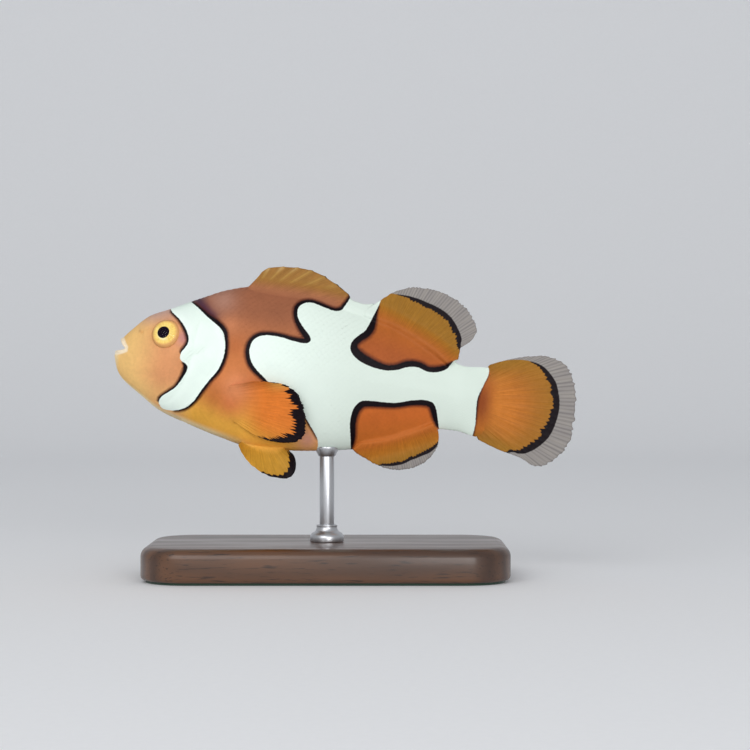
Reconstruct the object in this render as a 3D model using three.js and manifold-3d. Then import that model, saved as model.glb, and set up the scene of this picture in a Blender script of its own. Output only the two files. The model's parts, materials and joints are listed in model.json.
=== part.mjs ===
// A life-size display model of a clownfish, swimming nose-up over a plain stand.
//
// The fish is built in a frame of its own, in millimetres: X runs from the snout to the tail, Z is up,
// and the fish is the same on both sides of Y = 0, with its left side towards -Y. The whole fish is then
// pitched nose-up and set over the stand. The part's frame has +Z up, the fish facing -X, and its origin
// on the ground, at the middle of the footprint.

import * as THREE from "three";
import { mergeVertices } from "three/addons/utils/BufferGeometryUtils.js";
import Module from "manifold-3d";

const wasm = await Module();
wasm.setup();

// ---- Driving dimensions -------------------------------------------------------------------------

const TOTAL_LENGTH = 80; // snout to tail tip, an adult of the common size
const STEM_END = 63.4; // where the scaled tail stem ends and the tail fin starts
const NOSE_UP = THREE.MathUtils.degToRad(8); // pitch of the swimming fish
const RIDE_HEIGHT = 38; // snout above the ground
const GAP = 0.3; // parting between neighbouring solids

const FIN_EDGE = 0.5; // thickness of a fin between its rays
const FIN_RAY = 0.8; // thickness of a fin over a ray
const FIN_ROOT = 1.1; // thickness of a fin where it leaves the body
const FIN_ROWS = 3; // rows of faces from a fin's root to its edge

const EYE = { x: 8.98, y: 3.55, z: 4.66, radius: 2.5, depth: 1.5 };
const EYE_UP = THREE.MathUtils.degToRad(17.5); // the eyes look a little up
const EYE_FORWARD = THREE.MathUtils.degToRad(17); // and a little forward

const PLATE_DEPTH = 1.2; // thickness of a gill cover

const ROD = { x: 38.5, radius: 1.25, sides: 20 };
const BASE = { length: 62, width: 34, height: 6, corner: 8, bevel: 1.2 };
const COLLAR = { radius: 2.9, height: 2.6, sides: 24 };

const STATIONS = 28; // sections along the body
const SIDES = 28; // points round a section
const FAR = 60; // past the fish on every side, for cuts right through it
const AHEAD = -5; // ahead of the snout

// ---- Profiles of the body -----------------------------------------------------------------------

// A smooth curve of value over x through [x, value] stations, which never overshoots them.
function profile(stations) {
  const last = stations.length - 1;
  const slope = stations.slice(1).map(([x, v], i) => (v - stations[i][1]) / (x - stations[i][0]));
  const tangent = stations.map((_, i) => {
    if (i === 0 || i === last) return slope[Math.min(i, last - 1)];
    const product = slope[i - 1] * slope[i];
    return product <= 0 ? 0 : (2 * product) / (slope[i - 1] + slope[i]);
  });
  return (x) => {
    const past = stations.findIndex(([station]) => station > x);
    const i = past < 0 ? last - 1 : Math.max(0, past - 1);
    const [x0, v0] = stations[i];
    const [x1, v1] = stations[i + 1];
    const span = x1 - x0;
    const t = THREE.MathUtils.clamp((x - x0) / span, 0, 1);
    const ease = t * t * (3 - 2 * t);
    const leave = t * (1 - t) ** 2;
    const arrive = t * t * (t - 1);
    return v0 + (v1 - v0) * ease + span * (tangent[i] * leave + tangent[i + 1] * arrive);
  };
}

const back = profile([
  [0, 0.6], [0.35, 2.1], [1, 3.2], [2.2, 4.7], [5.2, 7.7], [8.4, 9.3], [13.3, 11.8], [18, 14], [22, 15],
  [30, 15], [38, 14.5], [44, 13.3], [50, 11.2], [55, 9], [58, 7.2], [60, 6.6], [STEM_END, 6.9],
]);
const belly = profile([
  [0, 0.1], [0.35, -1.2], [0.9, -2.4], [1.8, -3.5], [5.3, -5.9], [9.1, -8.3], [14.6, -10.1], [20, -11.5],
  [25, -12.4], [32, -12.1], [38, -11.3], [44, -10.1], [50, -7.9], [54, -6.1], [57.5, -4.7], [60, -4.5],
  [STEM_END, -5.1],
]);
const halfWidth = profile([
  [0, 0.7], [0.35, 1.35], [1, 1.95], [3, 2.95], [6, 4.05], [10, 5.1], [15, 5.9], [21, 6.25], [28, 6.05],
  [36, 5.3], [44, 4.15], [51, 3], [57, 2.05], [60, 1.6], [STEM_END, 0.95],
]);
const widestHeight = profile([[0, 0.3], [6, 0.6], [14, 1.2], [26, 1.4], [44, 1.6], [STEM_END, 0.9]]);

const ROUND_ABOVE = 1.9; // roundness of a section above its widest height: 2 is an ellipse
const ROUND_BELOW = 2.15; // roundness below it
const LEAST = 0.2; // half-size that a section drawn inwards keeps

// The ring of points of the section at x, pushed out by grow.
function section(x, grow) {
  const middle = widestHeight(x);
  return Array.from({ length: SIDES }, (_, i) => {
    const turn = (2 * Math.PI * i) / SIDES;
    const [c, s] = [Math.cos(turn), Math.sin(turn)];
    const power = 2 / (s >= 0 ? ROUND_ABOVE : ROUND_BELOW);
    const height = Math.max(LEAST, (s >= 0 ? back(x) - middle : middle - belly(x)) + grow);
    const width = Math.max(LEAST, halfWidth(x) + grow);
    const y = Math.sign(c) * Math.abs(c) ** power * width;
    const z = middle + Math.sign(s) * Math.abs(s) ** power * height;
    return [x, y, z];
  });
}

// ---- From points to solids, and back ------------------------------------------------------------

// The solid of an indexed surface of points and triangles, turned to face outwards.
function solidFrom(points, faces) {
  const build = (list) =>
    new wasm.Manifold(
      new wasm.Mesh({
        numProp: 3,
        vertProperties: new Float32Array(points.flat()),
        triVerts: new Uint32Array(list.flat()),
      }),
    );
  const made = build(faces);
  return made.volume() > 0 ? made : build(faces.map(([a, b, c]) => [a, c, b]));
}

// The solid of a closed three.js geometry.
function solidOf(geometry) {
  const bare = geometry.clone();
  bare.deleteAttribute("normal");
  bare.deleteAttribute("uv");
  const merged = mergeVertices(bare);
  return new wasm.Manifold(
    new wasm.Mesh({
      numProp: 3,
      vertProperties: merged.attributes.position.array,
      triVerts: new Uint32Array(merged.index.array),
    }),
  );
}

// The three.js geometry of a solid.
function geometryOf(solid) {
  const { numProp, numVert, vertProperties, triVerts } = solid.getMesh();
  const position = new Float32Array(numVert * 3);
  for (let i = 0; i < numVert; i++) {
    position.set(vertProperties.subarray(i * numProp, i * numProp + 3), i * 3);
  }
  const geometry = new THREE.BufferGeometry();
  geometry.setAttribute("position", new THREE.BufferAttribute(position, 3));
  geometry.setIndex(new THREE.BufferAttribute(triVerts, 1));
  geometry.computeVertexNormals();
  return geometry;
}

// The solid through rings of equal count, with a fan of faces over each end.
function loft(rings) {
  const sides = rings[0].length;
  const centre = (ring) => ring.reduce((sum, p) => sum.map((v, k) => v + p[k] / sides), [0, 0, 0]);
  const points = [...rings.flat(), centre(rings[0]), centre(rings.at(-1))];
  const [nose, tail] = [points.length - 2, points.length - 1];
  const end = (rings.length - 1) * sides;
  const faces = [];
  for (let i = 0; i < sides; i++) {
    const next = (i + 1) % sides;
    faces.push([nose, next, i], [tail, end + i, end + next]);
    for (let a = i, b = next; a < end; a += sides, b += sides) {
      faces.push([a, b, a + sides], [b, b + sides, a + sides]);
    }
  }
  return solidFrom(points, faces);
}

// A side-view outline of [x, z] corners, carried right through the fish.
function throughSide(corners) {
  const shape = new THREE.Shape(corners.map(([x, z]) => new THREE.Vector2(x, z)));
  const prism = new THREE.ExtrudeGeometry(shape, { depth: 2 * FAR, bevelEnabled: false });
  return solidOf(prism.rotateX(Math.PI / 2).translate(0, FAR, 0));
}

// A thin cut right through the fish along a side-view line.
function cutAlong(line, width = GAP) {
  const points = line.map(([x, z]) => new THREE.Vector2(x, z));
  const offset = (sign) =>
    points.map((point, i) => {
      const along = points[Math.min(i + 1, points.length - 1)].clone().sub(points[Math.max(i - 1, 0)]);
      const across = new THREE.Vector2(-along.y, along.x).setLength((sign * width) / 2);
      return point.clone().add(across).toArray();
    });
  return throughSide([...offset(1), ...offset(-1).reverse()]);
}

// Evenly spaced [x, z] points of the smooth curve through a few.
function smoothLine(corners, steps) {
  const curve = new THREE.SplineCurve(corners.map(([x, z]) => new THREE.Vector2(x, z)));
  return curve.getSpacedPoints(steps).map((point) => point.toArray());
}

// The largest piece of a solid, without the slivers that a cut can set free.
function mainPiece(solid) {
  return solid.decompose().reduce((best, piece) => (piece.volume() > best.volume() ? piece : best));
}

// ---- Body: modelled whole, then parted by thin cuts ----------------------------------------------

const CROWDING = 1.5; // sections crowd towards the snout, where the outline turns most

// The whole body, pushed out by grow, or drawn in where grow is negative.
function wholeBody(grow = 0) {
  const rings = [];
  for (let i = 0; i <= STATIONS; i++) rings.push(section(STEM_END * (i / STATIONS) ** CROWDING, grow));
  if (grow > 0) {
    const shifted = (ring, by) => ring.map(([x, y, z]) => [x + by, y, z]);
    rings.unshift(shifted(rings[0], -grow));
    rings.push(shifted(rings.at(-1), grow));
  }
  return loft(rings);
}

const clearance = wholeBody(GAP); // what stands against the body is cut back to this

// Side-view lines where the body is parted.
const GAPE_CORNER = [1.95, 1.35];
const LIP_TOP = [[3.3, 2.7], [3.3, 4.6], [2.6, 8]];
const CHIN = [[3.6, -0.2], [5.4, -2.6], [6.4, -5], [6.6, -FAR]];
const GILL_OPENING = smoothLine(
  [
    [14.4, 16], [14.8, 11.4], [17, 8], [18.8, 4.4], [18.8, 1], [17.4, -2.2], [15.4, -5.4], [13.2, -8.2],
    [12.2, -14],
  ],
  11,
);
const STEM_START = smoothLine([[54.6, 12], [54.2, 6], [53.2, 1.5], [53.6, -3], [54.6, -10]], 8);

// The open mouth: a wedge right across the snout, and a shallow hollow behind it.
const GAPE = [GAPE_CORNER, [0.87, 2.8], [0.5, 3.5], [-2, 5], [-2, 0.55], [0.3, 0.72], [0.8, 0.98], [1.35, 1.08]];
const HOLLOW = { x: 2, z: 1.3, length: 2, width: 1.25, height: 0.85 };

// The front edge of a gill cover, from its top round to its foot.
const PLATE_EDGE = smoothLine(
  [[16.9, 8.3], [14, 8.6], [12.9, 5], [12.6, 0], [11.6, -4], [10.4, -7], [13.6, -7.9]],
  11,
);
const PLATE_BEHIND = [[19.5, -7.9], [19.5, 8.3]]; // behind the gill opening

function ellipsoid({ x, y = 0, z }, radii, turn = [0, 0]) {
  const ball = new THREE.SphereGeometry(1, 16, 10).scale(...radii);
  return solidOf(ball.rotateX(turn[0]).rotateZ(turn[1]).translate(x, y, z));
}

// One eyeball, pushed out by grow: side is -1 for the left and 1 for the right.
function eyeball(side, grow = 0) {
  const { x, y, z, radius, depth } = EYE;
  const radii = [radius + grow, depth + grow, radius + grow];
  return ellipsoid({ x, y: side * y, z }, radii, [side * EYE_UP, side * EYE_FORWARD]);
}

// The half of a solid on one side of the fish.
function halfOf(solid, side) {
  const half = new THREE.BoxGeometry(4 * FAR, 2 * FAR, 4 * FAR).translate(0, side * FAR, 0);
  return solid.intersect(solidOf(half));
}

function buildBody() {
  const upperLine = [GAPE_CORNER, ...LIP_TOP];
  const lowerLine = [GAPE_CORNER, ...CHIN];
  const { length, width, height } = HOLLOW;
  const cuts = [GILL_OPENING, STEM_START, upperLine, lowerLine].map((line) => cutAlong(line));
  const hollows = [throughSide(GAPE), ellipsoid(HOLLOW, [length, width, height])];
  const whole = [...cuts, ...hollows].reduce((rest, cut) => rest.subtract(cut), wholeBody());

  const ahead = [[AHEAD, -FAR], [AHEAD, FAR]];
  const aheadOfLips = throughSide([...ahead, ...LIP_TOP.toReversed(), GAPE_CORNER, ...CHIN]);
  const aboveGape = throughSide([[AHEAD, GAPE_CORNER[1]], [AHEAD, FAR], [FAR, FAR], [FAR, GAPE_CORNER[1]]]);
  const aheadOfGills = throughSide([...ahead, ...GILL_OPENING]);
  const behindStem = throughSide([[2 * FAR, -FAR], [2 * FAR, FAR], ...STEM_START]);

  const jaws = whole.intersect(aheadOfLips);
  const skull = whole.intersect(aheadOfGills).subtract(aheadOfLips);
  const plate = throughSide([...PLATE_EDGE, ...PLATE_BEHIND]);
  const coverEdge = cutAlong(PLATE_EDGE, 2 * GAP);
  const covers = skull.intersect(plate).subtract(wholeBody(-PLATE_DEPTH)).subtract(coverEdge);
  const underCovers = plate.subtract(wholeBody(-PLATE_DEPTH - GAP));
  return {
    upper_jaw: jaws.intersect(aboveGape),
    lower_jaw: jaws.subtract(aboveGape),
    head: skull.subtract(underCovers).subtract(eyeball(-1, GAP)).subtract(eyeball(1, GAP)),
    gill_cover_left: halfOf(covers, -1),
    gill_cover_right: halfOf(covers, 1),
    trunk: whole.subtract(aheadOfGills).subtract(behindStem),
    tail_stem: whole.intersect(behindStem),
  };
}

// ---- Fins ---------------------------------------------------------------------------------------

// The fins on the fish's middle. Each is a fan of rays from its base to its edge, both in side view.
const MIDDLE_FINS = {
  dorsal_fin_spiny: {
    base: [[22, 13.5], [30, 13.6], [37, 13], [41.6, 12.4]],
    edge: [
      [21.4, 15.2], [22.6, 17], [24.4, 18.7], [27.5, 19.5], [31.4, 19.7], [35, 18.5], [38.8, 16.2], [42, 15],
    ],
    rays: 11,
    scallop: 0.05,
  },
  dorsal_fin_soft: {
    base: [[42.3, 12.4], [47, 11], [53, 8.2], [57.2, 6]],
    edge: [
      [42.7, 15.2], [44.2, 16.2], [46.3, 17.6], [49.3, 18.8], [52.6, 18.8], [56.4, 17.7], [59.3, 15.7],
      [60.9, 13.3], [60.9, 11.4], [59.9, 10.2], [58.8, 8.6],
    ],
    rays: 14,
  },
  anal_fin: {
    base: [[44, -8.8], [48, -7.4], [53, -5], [56, -3.6]],
    edge: [
      [43, -10.9], [44.6, -11.6], [47.2, -12.4], [50.2, -12.9], [53, -12.3], [55.5, -10.8], [57, -8.6],
      [57.3, -6.7], [57, -5.2],
    ],
    rays: 12,
  },
  caudal_fin: {
    base: [[62.9, 5.8], [63.2, 3], [63.2, -1], [62.8, -4.2]],
    edge: [
      [64.2, 7.4], [67.4, 8.8], [70.8, 9.7], [73.8, 10.1], [76.5, 9.3], [78.6, 7], [79.7, 3.6],
      [TOTAL_LENGTH, 0], [79.7, -3.8], [78.2, -6.6], [75.9, -8.5], [73.9, -8.8], [71.6, -7.8], [67.6, -6.9],
      [64, -5.7],
    ],
    rays: 16,
  },
};

// The paired fins in side view. out gives how far they stand from the fish's middle, for the share up
// their length and the share across them.
const PAIRED_FINS = {
  pectoral_fin: {
    base: [[20.2, -2.6], [20.1, -4.6], [20.6, -6.6], [21.4, -8]],
    edge: [
      [25.5, -1.1], [29.6, -1.2], [31.7, -2.5], [33.6, -5], [34.8, -8], [34.2, -9.9], [32, -10.9],
      [28.8, -11], [25.4, -10.5],
    ],
    rays: 14,
    out: (up, across) => 5.9 + 2.7 * up + 0.5 * up * up - 0.9 * across * (1 - up),
  },
  pelvic_fin: {
    base: [[24, -11.6], [24.8, -11.8], [25.8, -12], [26.8, -12]],
    edge: [
      [24.3, -13.8], [26.6, -15.5], [29.4, -16.9], [31.6, -16.9], [33.2, -16.2], [33.5, -14.8], [32.6, -13.2],
      [30.5, -12.7],
    ],
    rays: 6,
    out: (up, across) => 1.1 + 2.9 * up * (1 - 0.25 * across),
  },
};

// A fin, thick at its root and ribbed along its rays. scallop is how far its edge draws in between them.
function finSolid({ base, edge, rays, scallop = 0, out = () => 0 }) {
  const columns = 2 * (rays - 1);
  const roots = smoothLine(base, columns);
  const tips = smoothLine(edge, columns);
  const face = (side) =>
    roots.flatMap(([rootX, rootZ], i) => {
      const onRay = i % 2 === 0;
      const reach = onRay ? 1 : 1 - scallop;
      return Array.from({ length: FIN_ROWS + 1 }, (_, j) => {
        const up = (j / FIN_ROWS) * reach;
        const thick = THREE.MathUtils.lerp(FIN_ROOT, onRay ? FIN_RAY : FIN_EDGE, Math.sqrt(up));
        const x = THREE.MathUtils.lerp(rootX, tips[i][0], up);
        const z = THREE.MathUtils.lerp(rootZ, tips[i][1], up);
        return [x, out(up, i / columns) + (side * thick) / 2, z];
      });
    });
  const points = [...face(-1), ...face(1)];
  const other = points.length / 2;
  const at = (i, j) => i * (FIN_ROWS + 1) + j;
  const faces = [];
  for (let i = 0; i < columns; i++) {
    for (let j = 0; j < FIN_ROWS; j++) {
      const [a, b, c, d] = [at(i, j), at(i + 1, j), at(i + 1, j + 1), at(i, j + 1)];
      faces.push([a, b, c], [a, c, d]);
      faces.push([a + other, c + other, b + other], [a + other, d + other, c + other]);
    }
  }
  for (const [a, b] of rimOf(columns, at)) faces.push([b, a, a + other], [b, a + other, b + other]);
  return solidFrom(points, faces);
}

// The pairs of neighbouring points round the rim of a fin's face.
function rimOf(columns, at) {
  const loop = [];
  for (let i = 0; i < columns; i++) loop.push(at(i, 0));
  for (let j = 0; j < FIN_ROWS; j++) loop.push(at(columns, j));
  for (let i = columns; i > 0; i--) loop.push(at(i, FIN_ROWS));
  for (let j = FIN_ROWS; j > 0; j--) loop.push(at(0, j));
  return loop.map((point, k) => [point, loop[(k + 1) % loop.length]]);
}

function buildFins() {
  const fins = {};
  for (const [name, fin] of Object.entries(MIDDLE_FINS)) fins[name] = finSolid(fin).subtract(clearance);
  for (const [name, fin] of Object.entries(PAIRED_FINS)) {
    for (const [label, side] of [["left", -1], ["right", 1]]) {
      const out = (up, across) => side * fin.out(up, across);
      fins[`${name}_${label}`] = finSolid({ ...fin, out }).subtract(clearance);
    }
  }
  return fins;
}

// ---- Stand --------------------------------------------------------------------------------------

const ROD_PLACE = ROD.x * Math.cos(NOSE_UP) + belly(ROD.x) * Math.sin(NOSE_UP); // from the snout, level

function buildBase() {
  const { length, width, height, corner, bevel } = BASE;
  const [x, y] = [length / 2 - bevel - corner, width / 2 - bevel - corner];
  const plan = new THREE.Shape();
  [[x, y], [-x, y], [-x, -y], [x, -y]].forEach(([cx, cy], quarter) => {
    plan.absarc(cx, cy, corner, (quarter * Math.PI) / 2, ((quarter + 1) * Math.PI) / 2);
  });
  const slab = new THREE.ExtrudeGeometry(plan, {
    depth: height - 2 * bevel,
    bevelThickness: bevel,
    bevelSize: bevel,
    bevelSegments: 2,
    curveSegments: 4,
  });
  return solidOf(slab.translate(ROD_PLACE, 0, bevel));
}

// The turned foot of the rod, tapering in steps towards its top.
function buildCollar() {
  const { radius, height, sides } = COLLAR;
  const bore = ROD.radius + GAP;
  const turned = [[1, 0], [1, 0.45], [0.72, 0.75], [0.62, 1]].map(([r, z]) => [r * radius, z * height]);
  const outline = [[bore, 0], ...turned, [bore, height], [bore, 0]];
  const ring = new THREE.LatheGeometry(outline.map(([r, z]) => new THREE.Vector2(r, z)), sides);
  return solidOf(ring.rotateX(Math.PI / 2).translate(ROD_PLACE, 0, BASE.height + GAP));
}

// The rod runs from the base up to the belly, and is cut to the belly's slope.
function buildRod() {
  const foot = BASE.height + GAP;
  const length = RIDE_HEIGHT - foot;
  const rod = new THREE.CylinderGeometry(ROD.radius, ROD.radius, length, ROD.sides).rotateX(Math.PI / 2);
  const pitched = clearance.rotate([0, THREE.MathUtils.radToDeg(NOSE_UP), 0]).translate([0, 0, RIDE_HEIGHT]);
  return solidOf(rod.translate(ROD_PLACE, 0, foot + length / 2)).subtract(pitched);
}

// ---- Assembly -----------------------------------------------------------------------------------

function finish(color, roughness, metalness = 0) {
  return new THREE.MeshStandardMaterial({ color, roughness, metalness });
}

const FISH_FINISH = {
  upper_jaw: finish(0xdca165, 0.42),
  lower_jaw: finish(0xdca165, 0.42),
  head: finish(0xd9975a, 0.42),
  gill_cover_left: finish(0xeef1ee, 0.4),
  gill_cover_right: finish(0xeef1ee, 0.4),
  trunk: finish(0xc86a2e, 0.42),
  tail_stem: finish(0xeef1ee, 0.4),
  eye_left: finish(0xe0b04c, 0.12),
  eye_right: finish(0xe0b04c, 0.12),
};
const FIN_FINISH = finish(0xb97a22, 0.45);
const WOOD = finish(0x4a2f1d, 0.5);
const STEEL = finish(0xb8babc, 0.3, 1);

function addMesh(group, name, solid, material) {
  const mesh = new THREE.Mesh(geometryOf(mainPiece(solid)), material);
  mesh.name = name;
  group.add(mesh);
}

const fish = new THREE.Group();
fish.rotation.y = NOSE_UP;
fish.position.z = RIDE_HEIGHT;
const fishSolids = { ...buildBody(), ...buildFins(), eye_left: eyeball(-1), eye_right: eyeball(1) };
for (const [name, solid] of Object.entries(fishSolids)) {
  addMesh(fish, name, solid, FISH_FINISH[name] ?? FIN_FINISH);
}

const stand = new THREE.Group();
addMesh(stand, "stand_base", buildBase(), WOOD);
addMesh(stand, "stand_collar", buildCollar(), STEEL);
addMesh(stand, "stand_rod", buildRod(), STEEL);

// The origin goes to the middle of the whole model's length.
const model = new THREE.Group().add(fish, stand);
const middle = new THREE.Box3().setFromObject(model, true).getCenter(new THREE.Vector3());
fish.position.x -= middle.x;
stand.position.x -= middle.x;

export default model;
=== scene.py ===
import json
import math

import bpy
import numpy as np
from mathutils import Matrix, Vector
from mathutils.kdtree import KDTree

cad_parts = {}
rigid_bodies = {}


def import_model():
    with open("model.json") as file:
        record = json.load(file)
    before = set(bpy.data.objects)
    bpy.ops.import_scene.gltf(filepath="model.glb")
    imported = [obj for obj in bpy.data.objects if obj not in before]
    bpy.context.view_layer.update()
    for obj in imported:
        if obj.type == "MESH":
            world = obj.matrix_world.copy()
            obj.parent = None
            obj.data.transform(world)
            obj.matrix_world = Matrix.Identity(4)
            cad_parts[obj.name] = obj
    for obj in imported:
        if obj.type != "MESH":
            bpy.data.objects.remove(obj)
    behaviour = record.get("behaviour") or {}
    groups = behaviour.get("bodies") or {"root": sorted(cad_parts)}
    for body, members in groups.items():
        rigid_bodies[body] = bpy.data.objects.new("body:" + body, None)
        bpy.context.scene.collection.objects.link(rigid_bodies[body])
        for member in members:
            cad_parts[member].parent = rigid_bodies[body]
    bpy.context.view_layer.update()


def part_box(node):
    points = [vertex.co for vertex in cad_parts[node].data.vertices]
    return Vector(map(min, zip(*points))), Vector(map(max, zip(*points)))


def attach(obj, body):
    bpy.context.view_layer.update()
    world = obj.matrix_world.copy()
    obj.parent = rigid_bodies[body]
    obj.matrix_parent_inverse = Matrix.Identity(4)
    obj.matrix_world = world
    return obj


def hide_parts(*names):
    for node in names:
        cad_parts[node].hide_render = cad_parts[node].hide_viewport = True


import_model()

bpy.ops.object.select_all(action="DESELECT")

# ---- Body -------------------------------------------------------------------------------------------
# On the fish one thin skin runs over head, jaws, gill covers, trunk and tail stem. The museum model is
# cast in resin as one closed shell, drawn in by the depth of the scales that are laid on it.
# All fish parts are shaped in its own millimetres: x back from the snout, z up, the left at negative y.

COAT_DEPTH = 0.12
BODY_SIDES = 128
BODY_STATIONS = np.concatenate([np.arange(-0.2, 20, 0.18), np.linspace(20, 66.4, 128)])
END_RINGS = 3  # rings that close each end with a round cap
BODY, MOUTH, ORBIT, LIPS, FINS = 0, 1, 2, 3, 10  # what a face is part of; fins count on from FINS


def smooth_profile(points):
    """A curve through the points, with no bumps between them."""
    xs, ys = np.array(points, float).T
    slopes = np.diff(ys) / np.diff(xs)
    before, after = slopes[:-1], slopes[1:]
    turning = before * after <= 0
    inner = np.where(turning, 0, 2 * before * after / np.where(turning, 1, before + after))
    tangents = np.concatenate([slopes[:1], inner, slopes[-1:]])

    def at(x):
        i = np.clip(np.searchsorted(xs, x, side="right") - 1, 0, len(xs) - 2)
        span = xs[i + 1] - xs[i]
        t = np.clip((x - xs[i]) / span, 0, 1)
        start = (2 * t**3 - 3 * t**2 + 1) * ys[i] + (t**3 - 2 * t**2 + t) * span * tangents[i]
        return start + (3 * t**2 - 2 * t**3) * ys[i + 1] + (t**3 - t**2) * span * tangents[i + 1]

    return at


# Heights and half widths in mm. A section's roundness is the power of its curve, and 2 is an ellipse.
back = smooth_profile([
    [0, 0.6], [0.35, 2.1], [1, 3.2], [2.2, 4.7], [5.2, 7.7], [8.4, 9.3], [13.3, 11.8], [18, 14], [22, 15],
    [30, 15], [38, 14.5], [44, 13.3], [50, 11.2], [55, 9], [58, 7.2], [60, 6.6], [63.4, 6.9], [66.4, 6.4],
])
belly = smooth_profile([
    [0, 0.1], [0.35, -1.35], [0.9, -2.6], [1.8, -3.75], [5.3, -6.15], [9.1, -8.4], [14.6, -10.1],
    [20, -11.5], [25, -12.4], [32, -12.1], [38, -11.3], [44, -10.1], [50, -7.9], [54, -6.1], [57.5, -4.85],
    [60, -4.8], [63.4, -5.3], [66.4, -4.8],
])
half_width = smooth_profile([
    [0, 0.7], [0.35, 1.35], [1, 1.95], [3, 2.95], [6, 4.05], [10, 5.1], [15, 5.9], [21, 6.25], [28, 6.05],
    [36, 5.3], [44, 4.15], [51, 3], [57, 2.05], [60, 1.6], [62.8, 1.0], [64.2, 0.55], [66.4, 0.2],
])
widest_height = smooth_profile([[0, 0.3], [6, 0.6], [14, 1.2], [26, 1.4], [44, 1.6], [63.4, 0.9]])
back_roundness = smooth_profile([
    [0, 1.9], [18, 1.9], [26, 1.75], [38, 1.7], [46, 1.55], [58, 1.5], [66.4, 1.9],
])
belly_roundness = smooth_profile([[0, 2.15], [38, 2.1], [46, 1.6], [57, 1.6], [62, 1.9], [66.4, 2.0]])


def half_section(x, above):
    """The height at which the body is widest at x, and its height and roundness above or below that."""
    middle = widest_height(x)
    height = np.where(above, back(x) - middle, middle - belly(x))
    return middle, height, np.where(above, back_roundness(x), belly_roundness(x))


def body_point(x, turn):
    """Points of the body before its relief, by their turn: 0 at the right side, a quarter at the back."""
    c, s = np.cos(turn), np.sin(turn)
    middle, height, roundness = half_section(x, s >= 0)
    y = np.sign(c) * np.abs(c) ** (2 / roundness) * half_width(x)
    z = middle + np.sign(s) * np.abs(s) ** (2 / roundness) * height
    return np.stack([x + 0 * turn, y, z], axis=-1)


def body_normal(x, turn, step=0.02):
    """The way out of the body at those points."""
    along = body_point(x + step, turn) - body_point(x - step, turn)
    around = body_point(x, turn + step) - body_point(x, turn - step)
    normal = np.cross(around, along)
    return normal / np.maximum(np.linalg.norm(normal, axis=-1, keepdims=True), 1e-9)


def body_turn(points):
    """The turn at which points near the body's surface lie."""
    x, y, z = points.T
    middle, height, roundness = half_section(x, z >= widest_height(x))
    c = np.sign(y) * np.abs(y / half_width(x)) ** (roundness / 2)
    s = np.sign(z - middle) * np.abs((z - middle) / height) ** (roundness / 2)
    return np.arctan2(s, c)


def body_reach(x, z):
    """How far the body's side stands out from the fish's middle at a place in side view."""
    middle, height, roundness = half_section(x, z >= widest_height(x))
    share = np.clip(np.abs(z - middle) / height, 0, 1)
    return half_width(x) * (1 - share**roundness) ** (1 / roundness)


def size_of(vectors):
    """The length of each vector of a table."""
    return np.linalg.norm(vectors, axis=-1)


def run_along(line):
    """The length from a line's start to each of its points."""
    return np.concatenate([[0], np.cumsum(size_of(np.diff(line, axis=0)))])


def read_along(places, run, line):
    """The line's values at places on its run."""
    return np.stack([np.interp(places, run, column) for column in line.T], axis=-1)


def smooth_line(corners, steps):
    """Evenly spaced points of the smooth curve through a few. Columns past x and z are carried along."""
    corners = np.array(corners, float)
    padded = np.concatenate([corners[:1], corners, corners[-1:]])
    t = np.linspace(0, 1, 12, endpoint=False)[:, None]
    pieces = []
    for p0, p1, p2, p3 in zip(padded, padded[1:], padded[2:], padded[3:]):
        v0, v1 = (p2 - p0) / 2, (p3 - p1) / 2
        curve = (2 * p1 - 2 * p2 + v0 + v1) * t**3 + (3 * p2 - 3 * p1 - 2 * v0 - v1) * t**2 + v0 * t + p1
        pieces.append(curve)
    dense = np.concatenate([*pieces, corners[-1:]])
    run = run_along(dense[:, :2])
    return read_along(np.linspace(0, run[-1], steps + 1), run, dense)


def nearest_on(line, spots):
    """Each side-view spot's distance from a line, and the line's own values at the nearest place."""
    distance = np.full(len(spots), np.inf)
    values = np.zeros((len(spots), line.shape[1]))
    for start, end in zip(line, line[1:]):
        run = end - start
        share = np.clip((spots - start[:2]) @ run[:2] / (run[:2] @ run[:2]), 0, 1)
        foot = start + share[:, None] * run
        gap = size_of(spots - foot[:, :2])
        nearer = gap < distance
        distance[nearer] = gap[nearer]
        values[nearer] = foot[nearer]
    return distance, values


def ease(value, low, high):
    """0 below low, 1 above high, and a soft step between them."""
    t = np.clip((value - low) / (high - low), 0, 1)
    return t * t * (3 - 2 * t)


def hump(distance, width):
    """1 at no distance, fading out past the width."""
    return np.exp(-((distance / width) ** 2))


SIGHT_MIDDLE, SIGHT_DISTANCE = np.array([44.86, 2.87]), 358


def side_view(points):
    """Where points show in side view from this distance: a flank stands nearer, so it looks larger."""
    nearer = SIGHT_DISTANCE / (SIGHT_DISTANCE - np.abs(points[:, 1:2]))
    return SIGHT_MIDDLE + (points[:, [0, 2]] - SIGHT_MIDDLE) * nearer


GILL_OPENING = smooth_line([
    [14.4, 16], [14.8, 11.4], [17, 8], [18.8, 4.4], [18.8, 1], [17.4, -2.2], [15.4, -5.4], [13.2, -8.2],
    [12.2, -14],
], 60)
GILL_COVER_RISE, GILL_SLIT_DEPTH, GILL_SLIT_FADE = 0.1, 0.3, 1.1
NOSTRIL, NOSTRIL_RIM = (4.1, 4.7), 0.42
EYE_RING, EYE_RIM, EYE_FURROW = (8.66, 4.88), 2.3, 3.1  # the eye's opening in the skin, and round it
FOLDS = (  # the line of each fold of the head, its depth and its width
    (smooth_line([[13.4, 7.6], [12.9, 5], [12.6, 0], [11.6, -4], [9.6, -6.6], [7.2, -6.4]], 40), 0.07, 0.36),
    (smooth_line([[12.2, 0.8], [13.4, 1.9], [14.9, 2.8]], 8), 0.22, 0.8),
    (smooth_line([[1.95, 1.35], [2.9, 0.5], [3.3, -0.7]], 8), 0.1, 0.28),
)


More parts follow.
